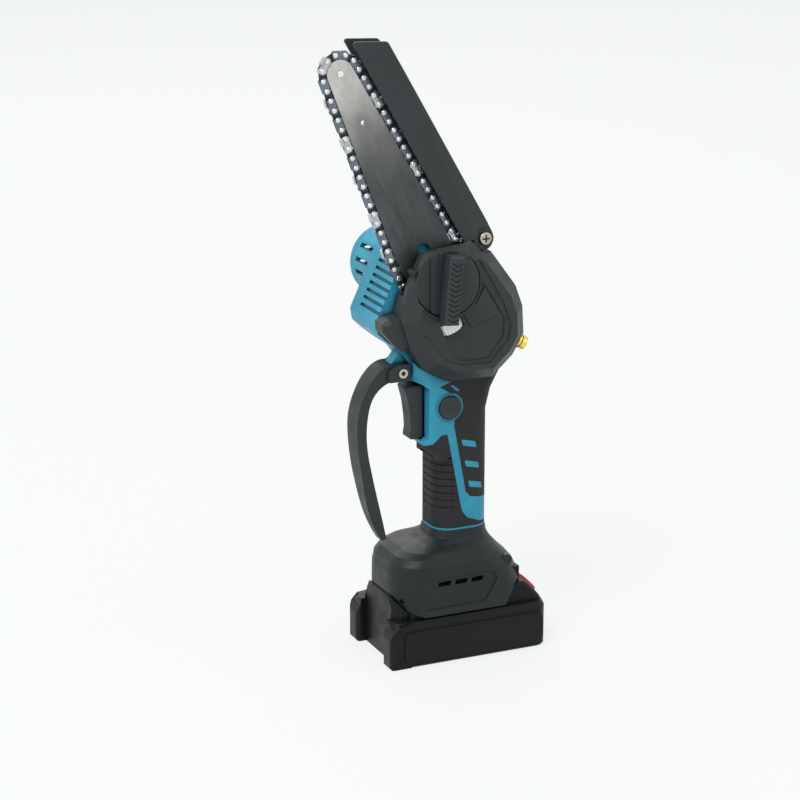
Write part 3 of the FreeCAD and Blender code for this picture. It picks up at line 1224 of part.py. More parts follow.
def hand_guard():
    rim = Part.Wire([curve(BOW_OUTER), straight(BOW_OUTER[-1], BOW_INNER[0]), curve(BOW_INNER),
                     straight(BOW_INNER[-1], BOW_OUTER[0])])
    bow = Part.Face(rim).extrude(Vector(0, 2 * BOW_HALF_WIDTH, 0)).common(bow_front(0))
    block = plate([(-47.0, 181.2), (-31.8, 181.2), (-31.8, 192.0), (-40.0, 192.4), (-47.0, 189.0)],
                  -9.5, 9.5, 1.5)
    guard = fuse([bow, block])
    fork = plate([(-44.0, 175.0), (-20.0, 175.0), (-20.0, 210.0), (-44.0, 210.0)], -LUG_HALF_WIDTH - 0.2,
                 LUG_HALF_WIDTH + 0.2)
    guard = guard.cut(fork)
    guard = guard.cut(rod(LUG_X, LUG_Z, HAND_SCREW_RADIUS, -20, 20))
    guard = guard.cut(rod(LUG_X, LUG_Z, HAND_SCREW_HEAD + 0.2, -20, -8))
    return guard.cut(rod(LUG_X, LUG_Z, 3.7, 8, 20))


def hand_guard_screws():
    """Socket screw through the lug and its nut."""
    screw = rod(LUG_X, LUG_Z, HAND_SCREW_RADIUS, -9, 10.4)
    screw = screw.fuse(rod(LUG_X, LUG_Z, HAND_SCREW_HEAD, -9.8, -8.0))
    socket = [polar((LUG_X, LUG_Z), 1.5, 60 * i) for i in range(6)]
    hexagon = [polar((LUG_X, LUG_Z), 3.6, 60 * i) for i in range(6)]
    nut = plate(hexagon, 8.0, 10.4).cut(rod(LUG_X, LUG_Z, HAND_SCREW_RADIUS, 7, 12))
    return Part.makeCompound([screw.cut(plate(socket, -12, -8.6)), nut])


# ------------------------------------------------------------------ trigger, lock button and switch
STEM_Z0, STEM_Z1 = 144.0, 152.0
STEM_END = -6.0
PLUNGER_RADIUS = 2.2
PLUNGER_END = 3.0
SPRING_WIRE = 0.5
SWITCH = (2.2, 17.2, 8.6, 141.0, 170.8)     # x0, x1, half width, z0, z1


def x_rod(x0, x1, y, z, radius):
    return Part.makeCylinder(radius, x1 - x0, Vector(x0, y, z), Vector(1, 0, 0))


def z_rod(x, y, z0, z1, radius):
    return Part.makeCylinder(radius, z1 - z0, Vector(x, y, z0))


def trigger():
    half = TRIGGER_HALF_WIDTH
    top, bottom = TRIGGER_TOP, TRIGGER_BOTTOM
    blade = plate([(TRIGGER_BACK - 0.3, bottom), (-31.0, bottom), (-30.0, 148.0), (-30.6, 156.0),
                   (-32.0, 166.0),
                   (-34.6, top - 1.0), (-33.0, top), (TRIGGER_BACK - 0.3, top)], -half, half, 1.0)
    blade = round_edges(blade, 1.2, lambda e: on_side(e, half) and max(v.X for v in e.Vertexes) < -26)
    stem = box(TRIGGER_BACK - 1, STEM_END, -3.2, 3.2, STEM_Z0, STEM_Z1)
    plunger = x_rod(STEM_END - 1, PLUNGER_END, 0, (STEM_Z0 + STEM_Z1) / 2, PLUNGER_RADIUS)
    seat = x_rod(TRIGGER_BACK - 4, TRIGGER_BACK + 1, 0, SPRING_Z, 3.2)
    return fuse([blade, stem, plunger]).cut(seat)


def coil(radius, length, turns):
    """Round-wire spring along Z from the origin, its ends cut flat."""
    wire = SPRING_WIRE / 2
    inner = length - 2 * wire
    path = Part.makeHelix(inner / turns, inner, radius)
    path.translate(Vector(0, 0, wire))
    profile = Part.Wire(Part.makeCircle(wire, Vector(radius, 0, wire), Vector(0, 1, 0)))
    return Part.Wire(path).makePipeShell([profile], True, True)


def trigger_spring():
    start = TRIGGER_BACK - 4 + 0.05
    spring = coil(2.4, SPRING_RIB_X - start - 0.05, 8)
    spring.rotate(Vector(0, 0, 0), Vector(0, 1, 0), 90)
    spring.translate(Vector(start, 0, SPRING_Z))
    return spring


def lock_button():
    end = GRIP_HALF + BUTTON_PROUD
    stem = rod(BUTTON_X, BUTTON_Z, BUTTON_STEM, -end + 2, end - 2)
    heads = [rod(BUTTON_X, BUTTON_Z, BUTTON_RADIUS, *sorted((side * BUTTON_HEAD_BACK, side * end)))
             for side in (-1, 1)]
    heads = [round_edges(head, 1.0, lambda e: on_side(e, end)) for head in heads]
    button = fuse([stem] + heads)
    for side in (-1, 1):
        button = button.cut(Part.makeSphere(24, Vector(BUTTON_X, side * (end + 23.3), BUTTON_Z)))
    return button


def button_springs():
    """One spring behind each head of the button."""
    floor = BUTTON_CUP_FLOOR + 1.2
    near = coil(BUTTON_SPRING_RADIUS, BUTTON_HEAD_BACK - floor - 0.1, 3)
    near.rotate(Vector(0, 0, 0), Vector(1, 0, 0), 90)
    near.translate(Vector(BUTTON_X, -floor - 0.05, BUTTON_Z))
    return Part.makeCompound([near, near.mirror(Vector(0, 0, 0), Vector(0, 1, 0))])


def trigger_switch():
    x0, x1, half, z0, z1 = SWITCH
    body = box(x0, x1, -half, half, z0, z1)
    body = body.cut(x_rod(x0 - 1, x0 + 9.5, 0, (STEM_Z0 + STEM_Z1) / 2, PLUNGER_RADIUS + 0.3))
    seam = box(x0 - 1, x1 + 1, -0.2, 0.2, z0 - 1, z0 + 0.4)
    return body.cut(seam)


WIRE_RADIUS = 1.0


def cord(points):
    """Insulated wire through points, its bends rounded by balls."""
    pieces = []
    for a, b in zip(points, points[1:]):
        start, end = Vector(*a), Vector(*b)
        pieces.append(Part.makeCylinder(WIRE_RADIUS, (end - start).Length, start, end - start))
    pieces += [Part.makeSphere(WIRE_RADIUS, Vector(*p)) for p in points[1:-1]]
    return fuse(pieces)


def wiring():
    """Wires from the terminals to the switch, and from the switch to the motor."""
    x0, x1, half, z0, z1 = SWITCH
    cords = []
    for side in (-1, 1):
        cords.append(cord([(-32, side * 6, BLOCK_TOP), (-32, side * 6, 63), (0, side * 5, 68),
                           (5, side * 5, 80),
                           (6, side * 5, z0)]))
    ring_radius = MOTOR_CAN_RADIUS + 0.15 + WIRE_RADIUS
    tab_y = MOTOR_BACK + 8.2
    for angle, start, tab in ((-70, 6.5, -11), (-45, 3.2, 11)):
        ax, az = polar(MOTOR, ring_radius, angle)
        beside = MOTOR_X + 0.5 + WIRE_RADIUS
        cords.append(cord([(start + 0.5, 4.5, z1), (start + 0.5, 9.6, 182), (ax + 4, 10, 205), (ax, 12, az),
                           (ax, tab_y, az), (beside, tab_y, MOTOR_Z + tab)]))
    return Part.makeCompound(cords)


# ------------------------------------------------------------------ sprocket cover, knob and tensioner
WELL_RADIUS = KNOB_RADIUS + 0.8
KNOB_GRIP_BACK = KNOB_FACE - 1.1    # clears the cover and the thumb wheel where the bar overhangs
KNOB_STEPS = [(6.2, -30.9), (11.5, -29.6)]      # distance left of the stud and the face there
CHEVRON_COUNT = 12
CHEVRON_PITCH = 3.15
CHEVRON_WIDTH = 0.7
CHEVRON_DEPTH = 0.6
CHEVRON_ANGLE = 28.0
WELL_INNER = KNOB_SEAT + KNOB_FLOOR
HUB_RADIUS = 6.0
WHEEL_Y = COVER_FACE - WHEEL_PROUD + WHEEL_RADIUS
NUT_RADIUS = 5.0
RIDGE_ZONE = [(3.0, 262.0), (20.2, 232.6), (26.4, 216.0), (24.6, 206.6), (12.0, 193.4), (-8.0, 194.0),
              (-20.0, 199.0),
              (-24.5, 205.8), (-29.2, 212.7), (-38.0, 217.6), (-40.5, 226.0), (-37.0, 248.0),
              (-29.0, 262.0)]
RIDGE_DEPTH = 0.7
TEARDROP = [(3.6, 250.8), (15.4, 231.9), (21.9, 221.0), (21.4, 209.0), (11.0, 196.2), (-7.0, 196.2),
            (-12.0, 199.6),
            (-17.8, 212.1), (-7.0, 228.0), (2.2, 232.0)]
TEARDROP_DEPTH = 1.4
FACET = [(-7.0, 228.0), (-0.8, 217.1), (18.2, 224.6), (8.5, 242.1), (2.2, 232.0)]   # flat above the crease
MOUTH = 8.0                 # room round the bar where it leaves the cover
MOUTH_START = 52.0
COVER_RIBS = (40.0, 62.0)   # ribs that press on the bar, along it
HUB_END = -20.0
NUT_NEAR = -31.0
PLUG_RADIUS = 4.5
PLUG_POINT = (36.8, 202.3)  # on the cover's lower back wall
PLUG_Y = -16.5
PLUG_PROUD = 6.6
PLUG_BORE = 2.2
TENSION_BLOCK = (44.0, 52.0, 4.0)


def bevelled(points, y_rim, y_step, y_face, bevel):
    """Outline extruded from its rim to the step, then drawn in to the face."""
    wall = plate(points, y_step, y_rim)
    flat = lambda y: (lambda p: Vector(p[0], y, p[1]))
    cap = stack([outline(points, 0.0, flat(y_step)), outline(inset(points, bevel), 0.0, flat(y_face))])
    return fuse([wall, cap])


def side_cover():
    form = fuse([bevelled(COVER_OUTLINE, CASE_FACE, COVER_STEP, COVER_FACE, COVER_BEVEL),
                 bevelled(LOBE_OUTLINE, CASE_FACE, -19.0, -21.0, 2.5)])
    hollow = bevelled(inset(COVER_OUTLINE, COVER_WALL), CASE_FACE + 1, COVER_STEP, COVER_FACE + COVER_WALL,
                      COVER_BEVEL - 1.5)
    hollow = hollow.cut(rod(*STUD, WELL_RADIUS + COVER_WALL, -60, WELL_INNER))
    hollow = hollow.cut(rod(*PIVOT, 10.6, -60, 0))
    cover = form.cut(hollow)
    ribs_along = [bar_box(*COVER_RIBS, low, low + 3, WELL_INNER - 0.5, BAR_NEAR) for low in (7.0, -16.2)]
    cover = fuse([cover] + ribs_along)
    cover = cover.cut(rod(*STUD, WELL_RADIUS, -60, KNOB_SEAT))
    cover = cover.cut(rod(*STUD, HUB_RADIUS + 0.25, -60, 0))
    wide = WHEEL_RADIUS - 1.2
    cover = cover.cut(bar_box(WHEEL_ALONG - WHEEL_WIDTH / 2 - 0.5, WHEEL_ALONG + WHEEL_WIDTH / 2 + 0.5,
                              WHEEL_ACROSS - wide, WHEEL_ACROSS + wide, -40, COVER_FACE + COVER_WALL + 1))
    cover = cover.cut(bar_rod(WHEEL_ALONG - WHEEL_WIDTH / 2 - 0.5, WHEEL_ALONG + WHEEL_WIDTH / 2 + 0.5,
                              WHEEL_ACROSS, WHEEL_Y, WHEEL_RADIUS + 0.3))
    round_bar = belt_solid(MOUTH, -17.0, CASE_FACE + 1)
    mouth = round_bar.common(bar_box(MOUTH_START, 140, -60, 60, -60, 0))
    chain_way = round_bar.cut(belt_solid(-1.0, -18.0, CASE_FACE + 2))
    cover = cover.cut(mouth).cut(chain_way.common(bar_box(42, MOUTH_START + 2, -60, 60, -60, 0)))
    cover = cover.cut(rod(*PIVOT, 5.2, -60, 0)).cut(rod(*PIVOT, 8.3, -60, -14.4))
    rim = rod(*STUD, WELL_RADIUS + 1.2, -60, 0)
    facet = plate(FACET, COVER_FACE + RIDGE_DEPTH, 0)
    cover = cover.cut(plate(RIDGE_ZONE, -40, COVER_FACE + RIDGE_DEPTH, 4.0).cut(rim))
    cover = cover.cut(plate(TEARDROP, -40, COVER_FACE + TEARDROP_DEPTH, 4.0).cut(rim).cut(facet))
    plug_hole = plug_rod(-6, 12, PLUG_RADIUS)
    cover = cover.cut(plug_hole)
    wheel_brackets = []
    for along in (WHEEL_ALONG - WHEEL_WIDTH / 2 - 3.0, WHEEL_ALONG + WHEEL_WIDTH / 2 + 1.0):
        wheel_brackets.append(bar_box(along, along + 1.6, WHEEL_ACROSS - 3.5, WHEEL_ACROSS + 3.5, -30,
                                      -20.5))
    cover = fuse([cover] + wheel_brackets)
    return cover.cut(bar_rod(5, 60, WHEEL_ACROSS, WHEEL_Y, TENSION_SCREW_RADIUS + 0.1))


def plug_rod(low, high, radius):
    """Cylinder square to the cover's lower back wall."""
    normal = Vector(0.866, 0, -0.5)
    start = Vector(PLUG_POINT[0], PLUG_Y, PLUG_POINT[1]) + normal * low
    return Part.makeCylinder(radius, high - low, start, normal)


def brass_plug():
    plug = plug_rod(-1.6, PLUG_PROUD, PLUG_RADIUS)
    plug = plug.cut(plug_rod(2.2, 3.0, PLUG_RADIUS + 1).cut(plug_rod(2.0, 3.2, PLUG_RADIUS - 0.5)))
    return plug.cut(plug_rod(PLUG_PROUD - 2.5, PLUG_PROUD + 1, PLUG_BORE))


def knob_grip():
    """Leaning bar of the knob with a fold beside it, the chevrons of the bar cut in."""
    half = KNOB_GRIP_WIDTH / 2
    bar = box(-half, half, KNOB_GRIP_FACE, KNOB_GRIP_BACK, -KNOB_GRIP_BELOW, KNOB_GRIP_ABOVE)
    bar = round_edges(bar, 2.0, lambda e: on_plane(e, KNOB_GRIP_FACE))
    rise = (half + 2) * tan(radians(CHEVRON_ANGLE))
    for i in range(CHEVRON_COUNT):
        level = CHEVRON_PITCH * i - KNOB_GRIP_BELOW + 2.0
        chevron = [(0, level), (half + 2, level + rise), (half + 2, level + rise + CHEVRON_WIDTH),
                   (0, level + CHEVRON_WIDTH), (-half - 2, level + rise + CHEVRON_WIDTH),
                   (-half - 2, level + rise)]
        bar = bar.cut(plate(chevron, KNOB_GRIP_FACE - 1, KNOB_GRIP_FACE + CHEVRON_DEPTH))
    start = half + 1.0
    fold = box(start, start + KNOB_FOLD_WIDTH, KNOB_FOLD_FACE, KNOB_FACE + 0.5, -15.0, 15.0)
    fold = round_edges(fold, 1.5, lambda e: on_plane(e, KNOB_FOLD_FACE))
    grip = fuse([bar, box(-half, half, KNOB_GRIP_BACK - 1, KNOB_FACE + 1.8, -18.0, 18.0), fold])
    grip.rotate(Vector(0, 0, 0), Vector(0, 1, 0), KNOB_GRIP_LEAN)
    grip.translate(Vector(STUD[0], 0, STUD[1]))
    return grip


def on_plane(edge, y):
    return all(abs(v.Y - y) < 1e-4 for v in edge.Vertexes)


def cover_knob():
    x, z = STUD
    disc = rod(x, z, KNOB_RADIUS, KNOB_FACE, KNOB_SEAT - 0.2)
    for left, face in KNOB_STEPS:
        disc = disc.cut(box(x - 30, x - left, -60, face, z - 30, z + 30))
    knob = fuse([disc, knob_grip(), rod(x, z, HUB_RADIUS, KNOB_FACE, HUB_END)])
    hexagon = [polar(STUD, NUT_RADIUS, 60 * i) for i in range(6)]
    knob = knob.cut(plate(hexagon, NUT_NEAR, HUB_END + 1))
    return knob.cut(rod(x, z, STUD_RADIUS + 0.3, -40, HUB_END + 1))


def knob_nut():
    hexagon = [polar(STUD, NUT_RADIUS, 60 * i) for i in range(6)]
    return plate(hexagon, NUT_NEAR, HUB_END - 1).cut(rod(*STUD, STUD_RADIUS + 0.05, -40, 0))


def lock_stud():
    return rod(*STUD, STUD_RADIUS, -38.5, STUD_END)


def tension_wheel():
    low, high = WHEEL_ALONG - WHEEL_WIDTH / 2, WHEEL_ALONG + WHEEL_WIDTH / 2
    wheel = bar_rod(low, high, WHEEL_ACROSS, WHEEL_Y, WHEEL_RADIUS)
    notches = []
    for i in range(24):
        notch = box(WHEEL_RADIUS - 0.5, WHEEL_RADIUS + 1, -0.45, 0.45, low - 1, high + 1)
        notch.rotate(Vector(0, 0, 0), Vector(0, 0, 1), 15 * i)
        notch.translate(Vector(WHEEL_ACROSS, WHEEL_Y, 0))
        notches.append(along_bar(notch))
    return wheel.cut(Part.makeCompound(notches)).cut(
        bar_rod(low - 1, high + 1, WHEEL_ACROSS, WHEEL_Y, TENSION_SCREW_RADIUS))


def tension_screw():
    return bar_rod(11.0, 57.0, WHEEL_ACROSS, WHEEL_Y, TENSION_SCREW_RADIUS)


def tension_block():
    low, high, half = TENSION_BLOCK
    block = bar_box(low, high, WHEEL_ACROSS - half, -HUB_RADIUS - 0.4, WELL_INNER + 0.3, -18.5)
    x, z = on_bar(TENSION_PIN_ALONG, TENSION_ACROSS)
    block = fuse([block, rod(x, z, TENSION_PIN_RADIUS, -19, BAR_FAR - 0.4)])
    return block.cut(bar_rod(low - 1, high + 1, WHEEL_ACROSS, WHEEL_Y, TENSION_SCREW_RADIUS + 0.05))


# ------------------------------------------------------------------ bar guard
GUARD_TOP_LEFT = (-74.8, 396.3)
GUARD_TOP_RIGHT = (-51.9, 395.1)
GUARD_LOW_LEFT = (-0.7, 268.9)
GUARD_END = 7.5
GUARD_CREASE = 12.5
GUARD_SLOPE_FACE = -16.4
GUARD_SEAT = -19.2          # of its screw's head
GUARD_HEAD_RADIUS = 4.0


def guard_frame():
    """Direction of the guard's outer edge and the normal that points away from the bar."""
    ax, az = GUARD_TOP_RIGHT
    px, pz = PIVOT
    reach = hypot(ax - px, az - pz)
    turn = atan2(az - pz, ax - px) - asin(GUARD_END / reach)
    up = (cos(turn), sin(turn))
    return up, (up[1], -up[0])


def bar_guard():
    up, out = guard_frame()
    tangent = (PIVOT[0] + out[0] * GUARD_END, PIVOT[1] + out[1] * GUARD_END)
    side = plate([GUARD_TOP_LEFT + (1.5,), GUARD_TOP_RIGHT + (2.5,), tangent, PIVOT, GUARD_LOW_LEFT],
                 GUARD_NEAR - 1, GUARD_FAR + 1)
    form = fuse([side, rod(*PIVOT, GUARD_END, GUARD_NEAR - 1, GUARD_FAR + 1)])
    wall, deep = GUARD_WALL, 60.0

    def channel(points):
        at = lambda p: Vector(tangent[0] + out[0] * p[0] - up[0] * 20, p[1],
                              tangent[1] + out[1] * p[0] - up[1] * 20)
        face = Part.Face(outline(points, 0.0, at))
        return face.extrude(Vector(up[0] * 220, 0, up[1] * 220))

    outer = channel([(-deep, GUARD_NEAR), (-GUARD_CREASE, GUARD_NEAR), (-1.0, GUARD_SLOPE_FACE),
                     (0.0, GUARD_SLOPE_FACE + 1.2), (0.0, GUARD_FAR - 1.0), (-1.0, GUARD_FAR),
                     (-deep, GUARD_FAR)])
    inner = channel([(-deep - 1, GUARD_NEAR + wall), (-GUARD_CREASE - 0.4, GUARD_NEAR + wall),
                     (-wall, GUARD_SLOPE_FACE + wall), (-wall, GUARD_FAR - wall),
                     (-deep - 1, GUARD_FAR - wall)])
    guard = form.common(outer).cut(inner)
    guard = fuse([guard, rod(*PIVOT, 6.0, GUARD_SEAT, PIVOT_BOSS_END - 0.2)])
    guard = guard.cut(rod(*PIVOT, 9.5, CASE_FACE - 0.6, 0))
    guard = guard.cut(rod(*PIVOT, PIVOT_BOSS + 0.3, PIVOT_BOSS_END - 0.2, 0))
    guard = guard.cut(rod(*PIVOT, GUARD_HEAD_RADIUS + 0.3, -30, GUARD_SEAT))
    return guard.cut(rod(*PIVOT, GUARD_SCREW_RADIUS + 0.1, -30, 0))


def guard_screw():
    head = rod(*PIVOT, GUARD_HEAD_RADIUS, -21.4, GUARD_SEAT - 0.1)
    head = round_edges(head, 0.9, lambda e: all(abs(v.Y + 21.4) < 1e-4 for v in e.Vertexes))
    shank = rod(*PIVOT, GUARD_SCREW_RADIUS, -20, -5)
    x, z = PIVOT
    cross = [box(x - 2.4, x + 2.4, -22, -20.2, z - 0.5, z + 0.5),
             box(x - 0.5, x + 0.5, -22, -20.2, z - 2.4, z + 2.4)]
    return fuse([head, shank]).cut(cross[0]).cut(cross[1])


# ------------------------------------------------------------------ terminals and battery pack
BLADES = (-12.0, -4.0, 4.0, 12.0)
BLADE_HALF = 0.4
BLADE_TIP = -10.0
BLADE_LOW, BLADE_HIGH = 46.0, 50.0
CASE_SPLIT = 14.0
CELL_Z = PACK_WALL + 0.5 + CELL_DIAMETER / 2
CELL_PITCH = CELL_DIAMETER + CELL_GAP
PACK_END = round(PACK_LENGTH / 2, 3)
POST = (PACK_END - 6.7, PACK_END - 1.8, 21.2, 28.0)     # screw posts of the pack: X from, to, Y from, to
PACK_SCREWS = [(sx * (PACK_END - 4.5), sy * 24.7) for sx in (-1, 1) for sy in (-1, 1)]
PACK_SCREW_RADIUS = 1.2
PACK_SCREW_HEAD = 2.0
FRONT_GAP = 0.4                     # between the pack's shoulder and the foot's front
RECESS_HALF = 20.0                  # opening between the two front legs
LEG_PROUD = 2.5                     # of the pack's front end
LEG_ROUND = 3.0
RECESS_X = PACK_END_ROOM - PACK_WALL - CELL_GAP - PACK_END
SHOULDER = [(0.4, 20.0), (1.0, 31.5), (2.5, 38.0), (4.4, PACK_DECK)]    # from the front end, and height
SHOULDER_HALF = RAIL_REACH - 0.4
SHOULDER_CORNER = 20.0
GROOVE_END = 22.4                   # where the rail grooves stop and the hump behind the foot starts
HUMP = [(GROOVE_END, 20.0), (GROOVE_END, PACK_DECK), (PACK_END - 13.0, PACK_DECK), (PACK_END - 7.6, 38.2),
        (PACK_END - 2.0, 31.4), (PACK_END - 0.2, 26.0), (PACK_END - 0.2, 20.0)]
PANEL = (7.0 - PACK_END, PACK_END - 4.0, 3.0, 24.0)     # side panels: X from, to, Z from, to
LATCH_HALF = 10.0
LATCH_FLOOR = round(CELL_Z + CELL_DIAMETER / 2 + 3.7, 3)
LATCH_FLOOR_WALL = 2.3
LATCH_START = PACK_END - 11.8       # inner side of the release button
LATCH_FIT = 0.4
LATCH_SPRING_X = round(PACK_END - 6.5, 3)
LATCH_SPRING_TOP = 35.0


def terminal_block():
    block = box(BLOCK_FRONT, BLOCK_BACK, -BLOCK_HALF, BLOCK_HALF, PACK_DECK + 0.8, BLOCK_TOP)
    for y in BLADES:
        block = block.cut(box(BLOCK_BACK - 12, BLOCK_BACK + 1, y - BLADE_HALF, y + BLADE_HALF, BLADE_LOW,
                              BLADE_HIGH))
    return block


def terminal_blades():
    return Part.makeCompound([box(BLOCK_BACK - 12, BLADE_TIP, y - BLADE_HALF, y + BLADE_HALF, BLADE_LOW,
                                  BLADE_HIGH)
                              for y in BLADES])


def pack_leg(side):
    """Leg at a front corner of the pack, its top sloping back to the shoulder."""
    front = -PACK_END - LEG_PROUD
    half = PACK_WIDTH / 2 - PACK_PANEL_PROUD
    leg = plate([(-PACK_END + 12, 0), (front + 1, 0), (front, 1.2), (front, 19.5), (front + 1.8, 24.0),
                 (front + 6, PACK_BASE_TOP - 1), (-PACK_END + 12, PACK_BASE_TOP)],
                *sorted((side * RECESS_HALF, side * half)))
    return round_edges(leg, LEG_ROUND, lambda e: (abs(e.BoundBox.XMax - front) < 1e-3
                                                  and e.BoundBox.ZLength > 10))


def pack_form():
    half = PACK_WIDTH / 2 - PACK_PANEL_PROUD
    end = PACK_END
    base = stack([section(-end + 1, end - 1, half - 1, PACK_CORNER - 1, 0),
                  section(-end, end, half, PACK_CORNER, 1.2),
                  section(-end, end, half, PACK_CORNER, PACK_BASE_HEIGHT),
                  section(-end + 0.6, end - 0.6, PACK_DECK_WIDTH / 2 + 3.2, PACK_CORNER, PACK_BASE_TOP)])
    shoulder = stack([section(x - end, 0.0, PACK_DECK_WIDTH / 2 + 3, SHOULDER_CORNER, z)
                      for x, z in SHOULDER])
    shoulder = shoulder.common(box(-60, 0, -SHOULDER_HALF, SHOULDER_HALF, 20, 60))
    deck = box(-41.0, 24.0, -PACK_DECK_WIDTH / 2, PACK_DECK_WIDTH / 2, 20, PACK_DECK)
    lowered = [(x, z - FRONT_GAP) for x, z in FOOT_EDGE]
    clear = fuse([pack_room(FRONT_GAP, 60), plate(lowered, -40, 40)])
    deck = fuse([shoulder, deck]).common(clear)
    hump = plate(HUMP, -PACK_DECK_WIDTH / 2, PACK_DECK_WIDTH / 2, 6.0)
    hump = round_edges(hump, 3.0, lambda e: (on_side(e, PACK_DECK_WIDTH / 2)
                                             and e.CenterOfMass.z > PACK_BASE_TOP))
    tongue = box(TONGUE_FRONT, TONGUE_BACK, -TONGUE_WIDTH / 2, TONGUE_WIDTH / 2, PACK_DECK - 1, TONGUE_TOP)
    legs = [pack_leg(side) for side in (-1, 1)]
    form = fuse([base, deck, hump, tongue] + legs)
    x0, x1, z0, z1 = PANEL
    panels = plate(rectangle_at(x0, x1, z0, z1), -PACK_WIDTH / 2, PACK_WIDTH / 2, 5.0)
    form = fuse([form, panels.common(box(x0, x1, half - 1, 60, 0, 60)),
                 panels.common(box(x0, x1, -60, 1 - half, 0, 60))])
    for side in (-1, 1):
        low, high = sorted((side * SHOULDER_HALF, side * 60))
        form = form.cut(box(-70, GROOVE_END, low, high, RAIL_LOW - 0.3, RAIL_HIGH + 0.3))
    return form


def rectangle_at(x0, x1, z0, z1):
    return [(x0, z0), (x1, z0), (x1, z1), (x0, z1)]


def pack_hollow():
    half = PACK_WIDTH / 2 - PACK_PANEL_PROUD - PACK_SIDE_WALL
    end = PACK_END - PACK_WALL
    low = slab(rectangle(-end, end, half), PACK_WALL, PACK_BASE_HEIGHT - PACK_WALL, PACK_CORNER - PACK_WALL)
    low = low.cut(box(-end - 1, RECESS_X + PACK_WALL, -RECESS_HALF - PACK_WALL, RECESS_HALF + PACK_WALL, 0,
                      27))
    for sx in (-1, 1):
        for sy in (-1, 1):
            low = low.cut(box(*sorted((sx * POST[0], sx * POST[1])), *sorted((sy * POST[2], sy * POST[3])),
                              0, 27))
    latch_wall = LATCH_START - LATCH_FIT - LATCH_FLOOR_WALL
    deck = box(-44, latch_wall, -RAIL_REACH + 2.4, RAIL_REACH - 2.4, PACK_BASE_HEIGHT - PACK_WALL - 1,
               PACK_DECK - PACK_WALL)
    tongue = box(TONGUE_FRONT + PACK_WALL, TONGUE_BACK - PACK_WALL, -TONGUE_WIDTH / 2 + PACK_WALL,
                 TONGUE_WIDTH / 2 - PACK_WALL, 40, TONGUE_TOP - PACK_WALL)
    keep = box(latch_wall, PACK_END + 6, -LATCH_HALF - 2.5, LATCH_HALF + 2.5,
               LATCH_FLOOR - LATCH_FLOOR_WALL, 60)
    return fuse([low, deck, tongue]).cut(keep)


def battery_cases():
    shell = pack_form().cut(pack_hollow())
    shell = shell.cut(box(-PACK_END - 6, RECESS_X, -RECESS_HALF, RECESS_HALF, -1, 60))
    room = box(LATCH_START - LATCH_FIT, PACK_END + 6, -LATCH_HALF - LATCH_FIT, LATCH_HALF + LATCH_FIT,
               LATCH_FLOOR, 60)
    shell = shell.cut(room)
    for y in BLADES:
        shell = shell.cut(box(TONGUE_FRONT - 1, TONGUE_FRONT + PACK_WALL + 1, y - 1.0, y + 1.0, 45.0, 51.0))
    for x, y in PACK_SCREWS:
        shell = shell.cut(z_rod(x, y, -1, 22, PACK_SCREW_RADIUS)).cut(z_rod(x, y, -1, 2.0,
                                                                            PACK_SCREW_HEAD + 0.1))
    lower = shell.common(box(-90, 90, -60, 60, -1, CASE_SPLIT))
    upper = shell.common(box(-90, 90, -60, 60, CASE_SPLIT, 90))
    return {"battery_lower_case": lower, "battery_upper_case": upper}


def battery_screws():
    screws = []
    for x, y in PACK_SCREWS:
        screw = z_rod(x, y, 0.5, 21.5, PACK_SCREW_RADIUS).fuse(z_rod(x, y, 0.5, 2.0, PACK_SCREW_HEAD))
        screws.append(screw.cut(box(x - 1.3, x + 1.3, y - 0.35, y + 0.35, 0, 1.2)))
    return Part.makeCompound(screws)


def cell_x(i):
    return (i - (CELL_COUNT - 1) / 2) * CELL_PITCH


def battery_cells():
    return Part.makeCompound([rod(cell_x(i), CELL_Z, CELL_DIAMETER / 2, -CELL_LENGTH / 2, CELL_LENGTH / 2)
                              for i in range(CELL_COUNT)])


def cell_straps():
    straps = []
    for side, starts in ((-1, (0, 2)), (1, (1, 3))):
        low, high = sorted((side * CELL_LENGTH / 2, side * (CELL_LENGTH / 2 + CELL_STRAP)))
        for i in starts:
            straps.append(box(cell_x(i) - 4, cell_x(i + 1) + 4, low, high, CELL_Z - 3.5, CELL_Z + 3.5))
    return Part.makeCompound(straps)


def battery_board():
    return box(-40, 38, -22, 22, CELL_Z + CELL_DIAMETER / 2 + 0.6, CELL_Z + CELL_DIAMETER / 2 + 2.2)


def battery_terminals():
    """Spring clips that grip the blades, each on a post from the board."""
    board_top = CELL_Z + CELL_DIAMETER / 2 + 2.2
    clips = []
    for y in BLADES:
        foot = box(-16, -9, y - 1.2, y + 1.2, 43.5, 45.0)
        post = box(-14, -11, y - 0.8, y + 0.8, board_top, 43.6)
        leaves = [box(-16, -9, y + low, y + low + 0.5, 44.9, 50.0) for low in (-0.95, 0.45)]
        clips.append(fuse([foot, post] + leaves))
    return Part.makeCompound(clips)


def release_button():
    half = LATCH_HALF
    x = LATCH_START
    body = plate([(x, 28.2), (x + 14.4, 28.2), (x + 14.4, 30.8), (x + 11.3, 34.4), (x + 5.3, 40.2),
                  (x + 2.2, 41.5),
                  (x + 2.0, 44.4), (x, 44.4)], -half, half, 0.6)
    return body.cut(z_rod(LATCH_SPRING_X, 0, 20, LATCH_SPRING_TOP, 3.2))


def release_spring():
    spring = coil(2.4, LATCH_SPRING_TOP - LATCH_FLOOR - 0.1, 6)
    spring.translate(Vector(LATCH_SPRING_X, 0, LATCH_FLOOR + 0.05))
    return spring


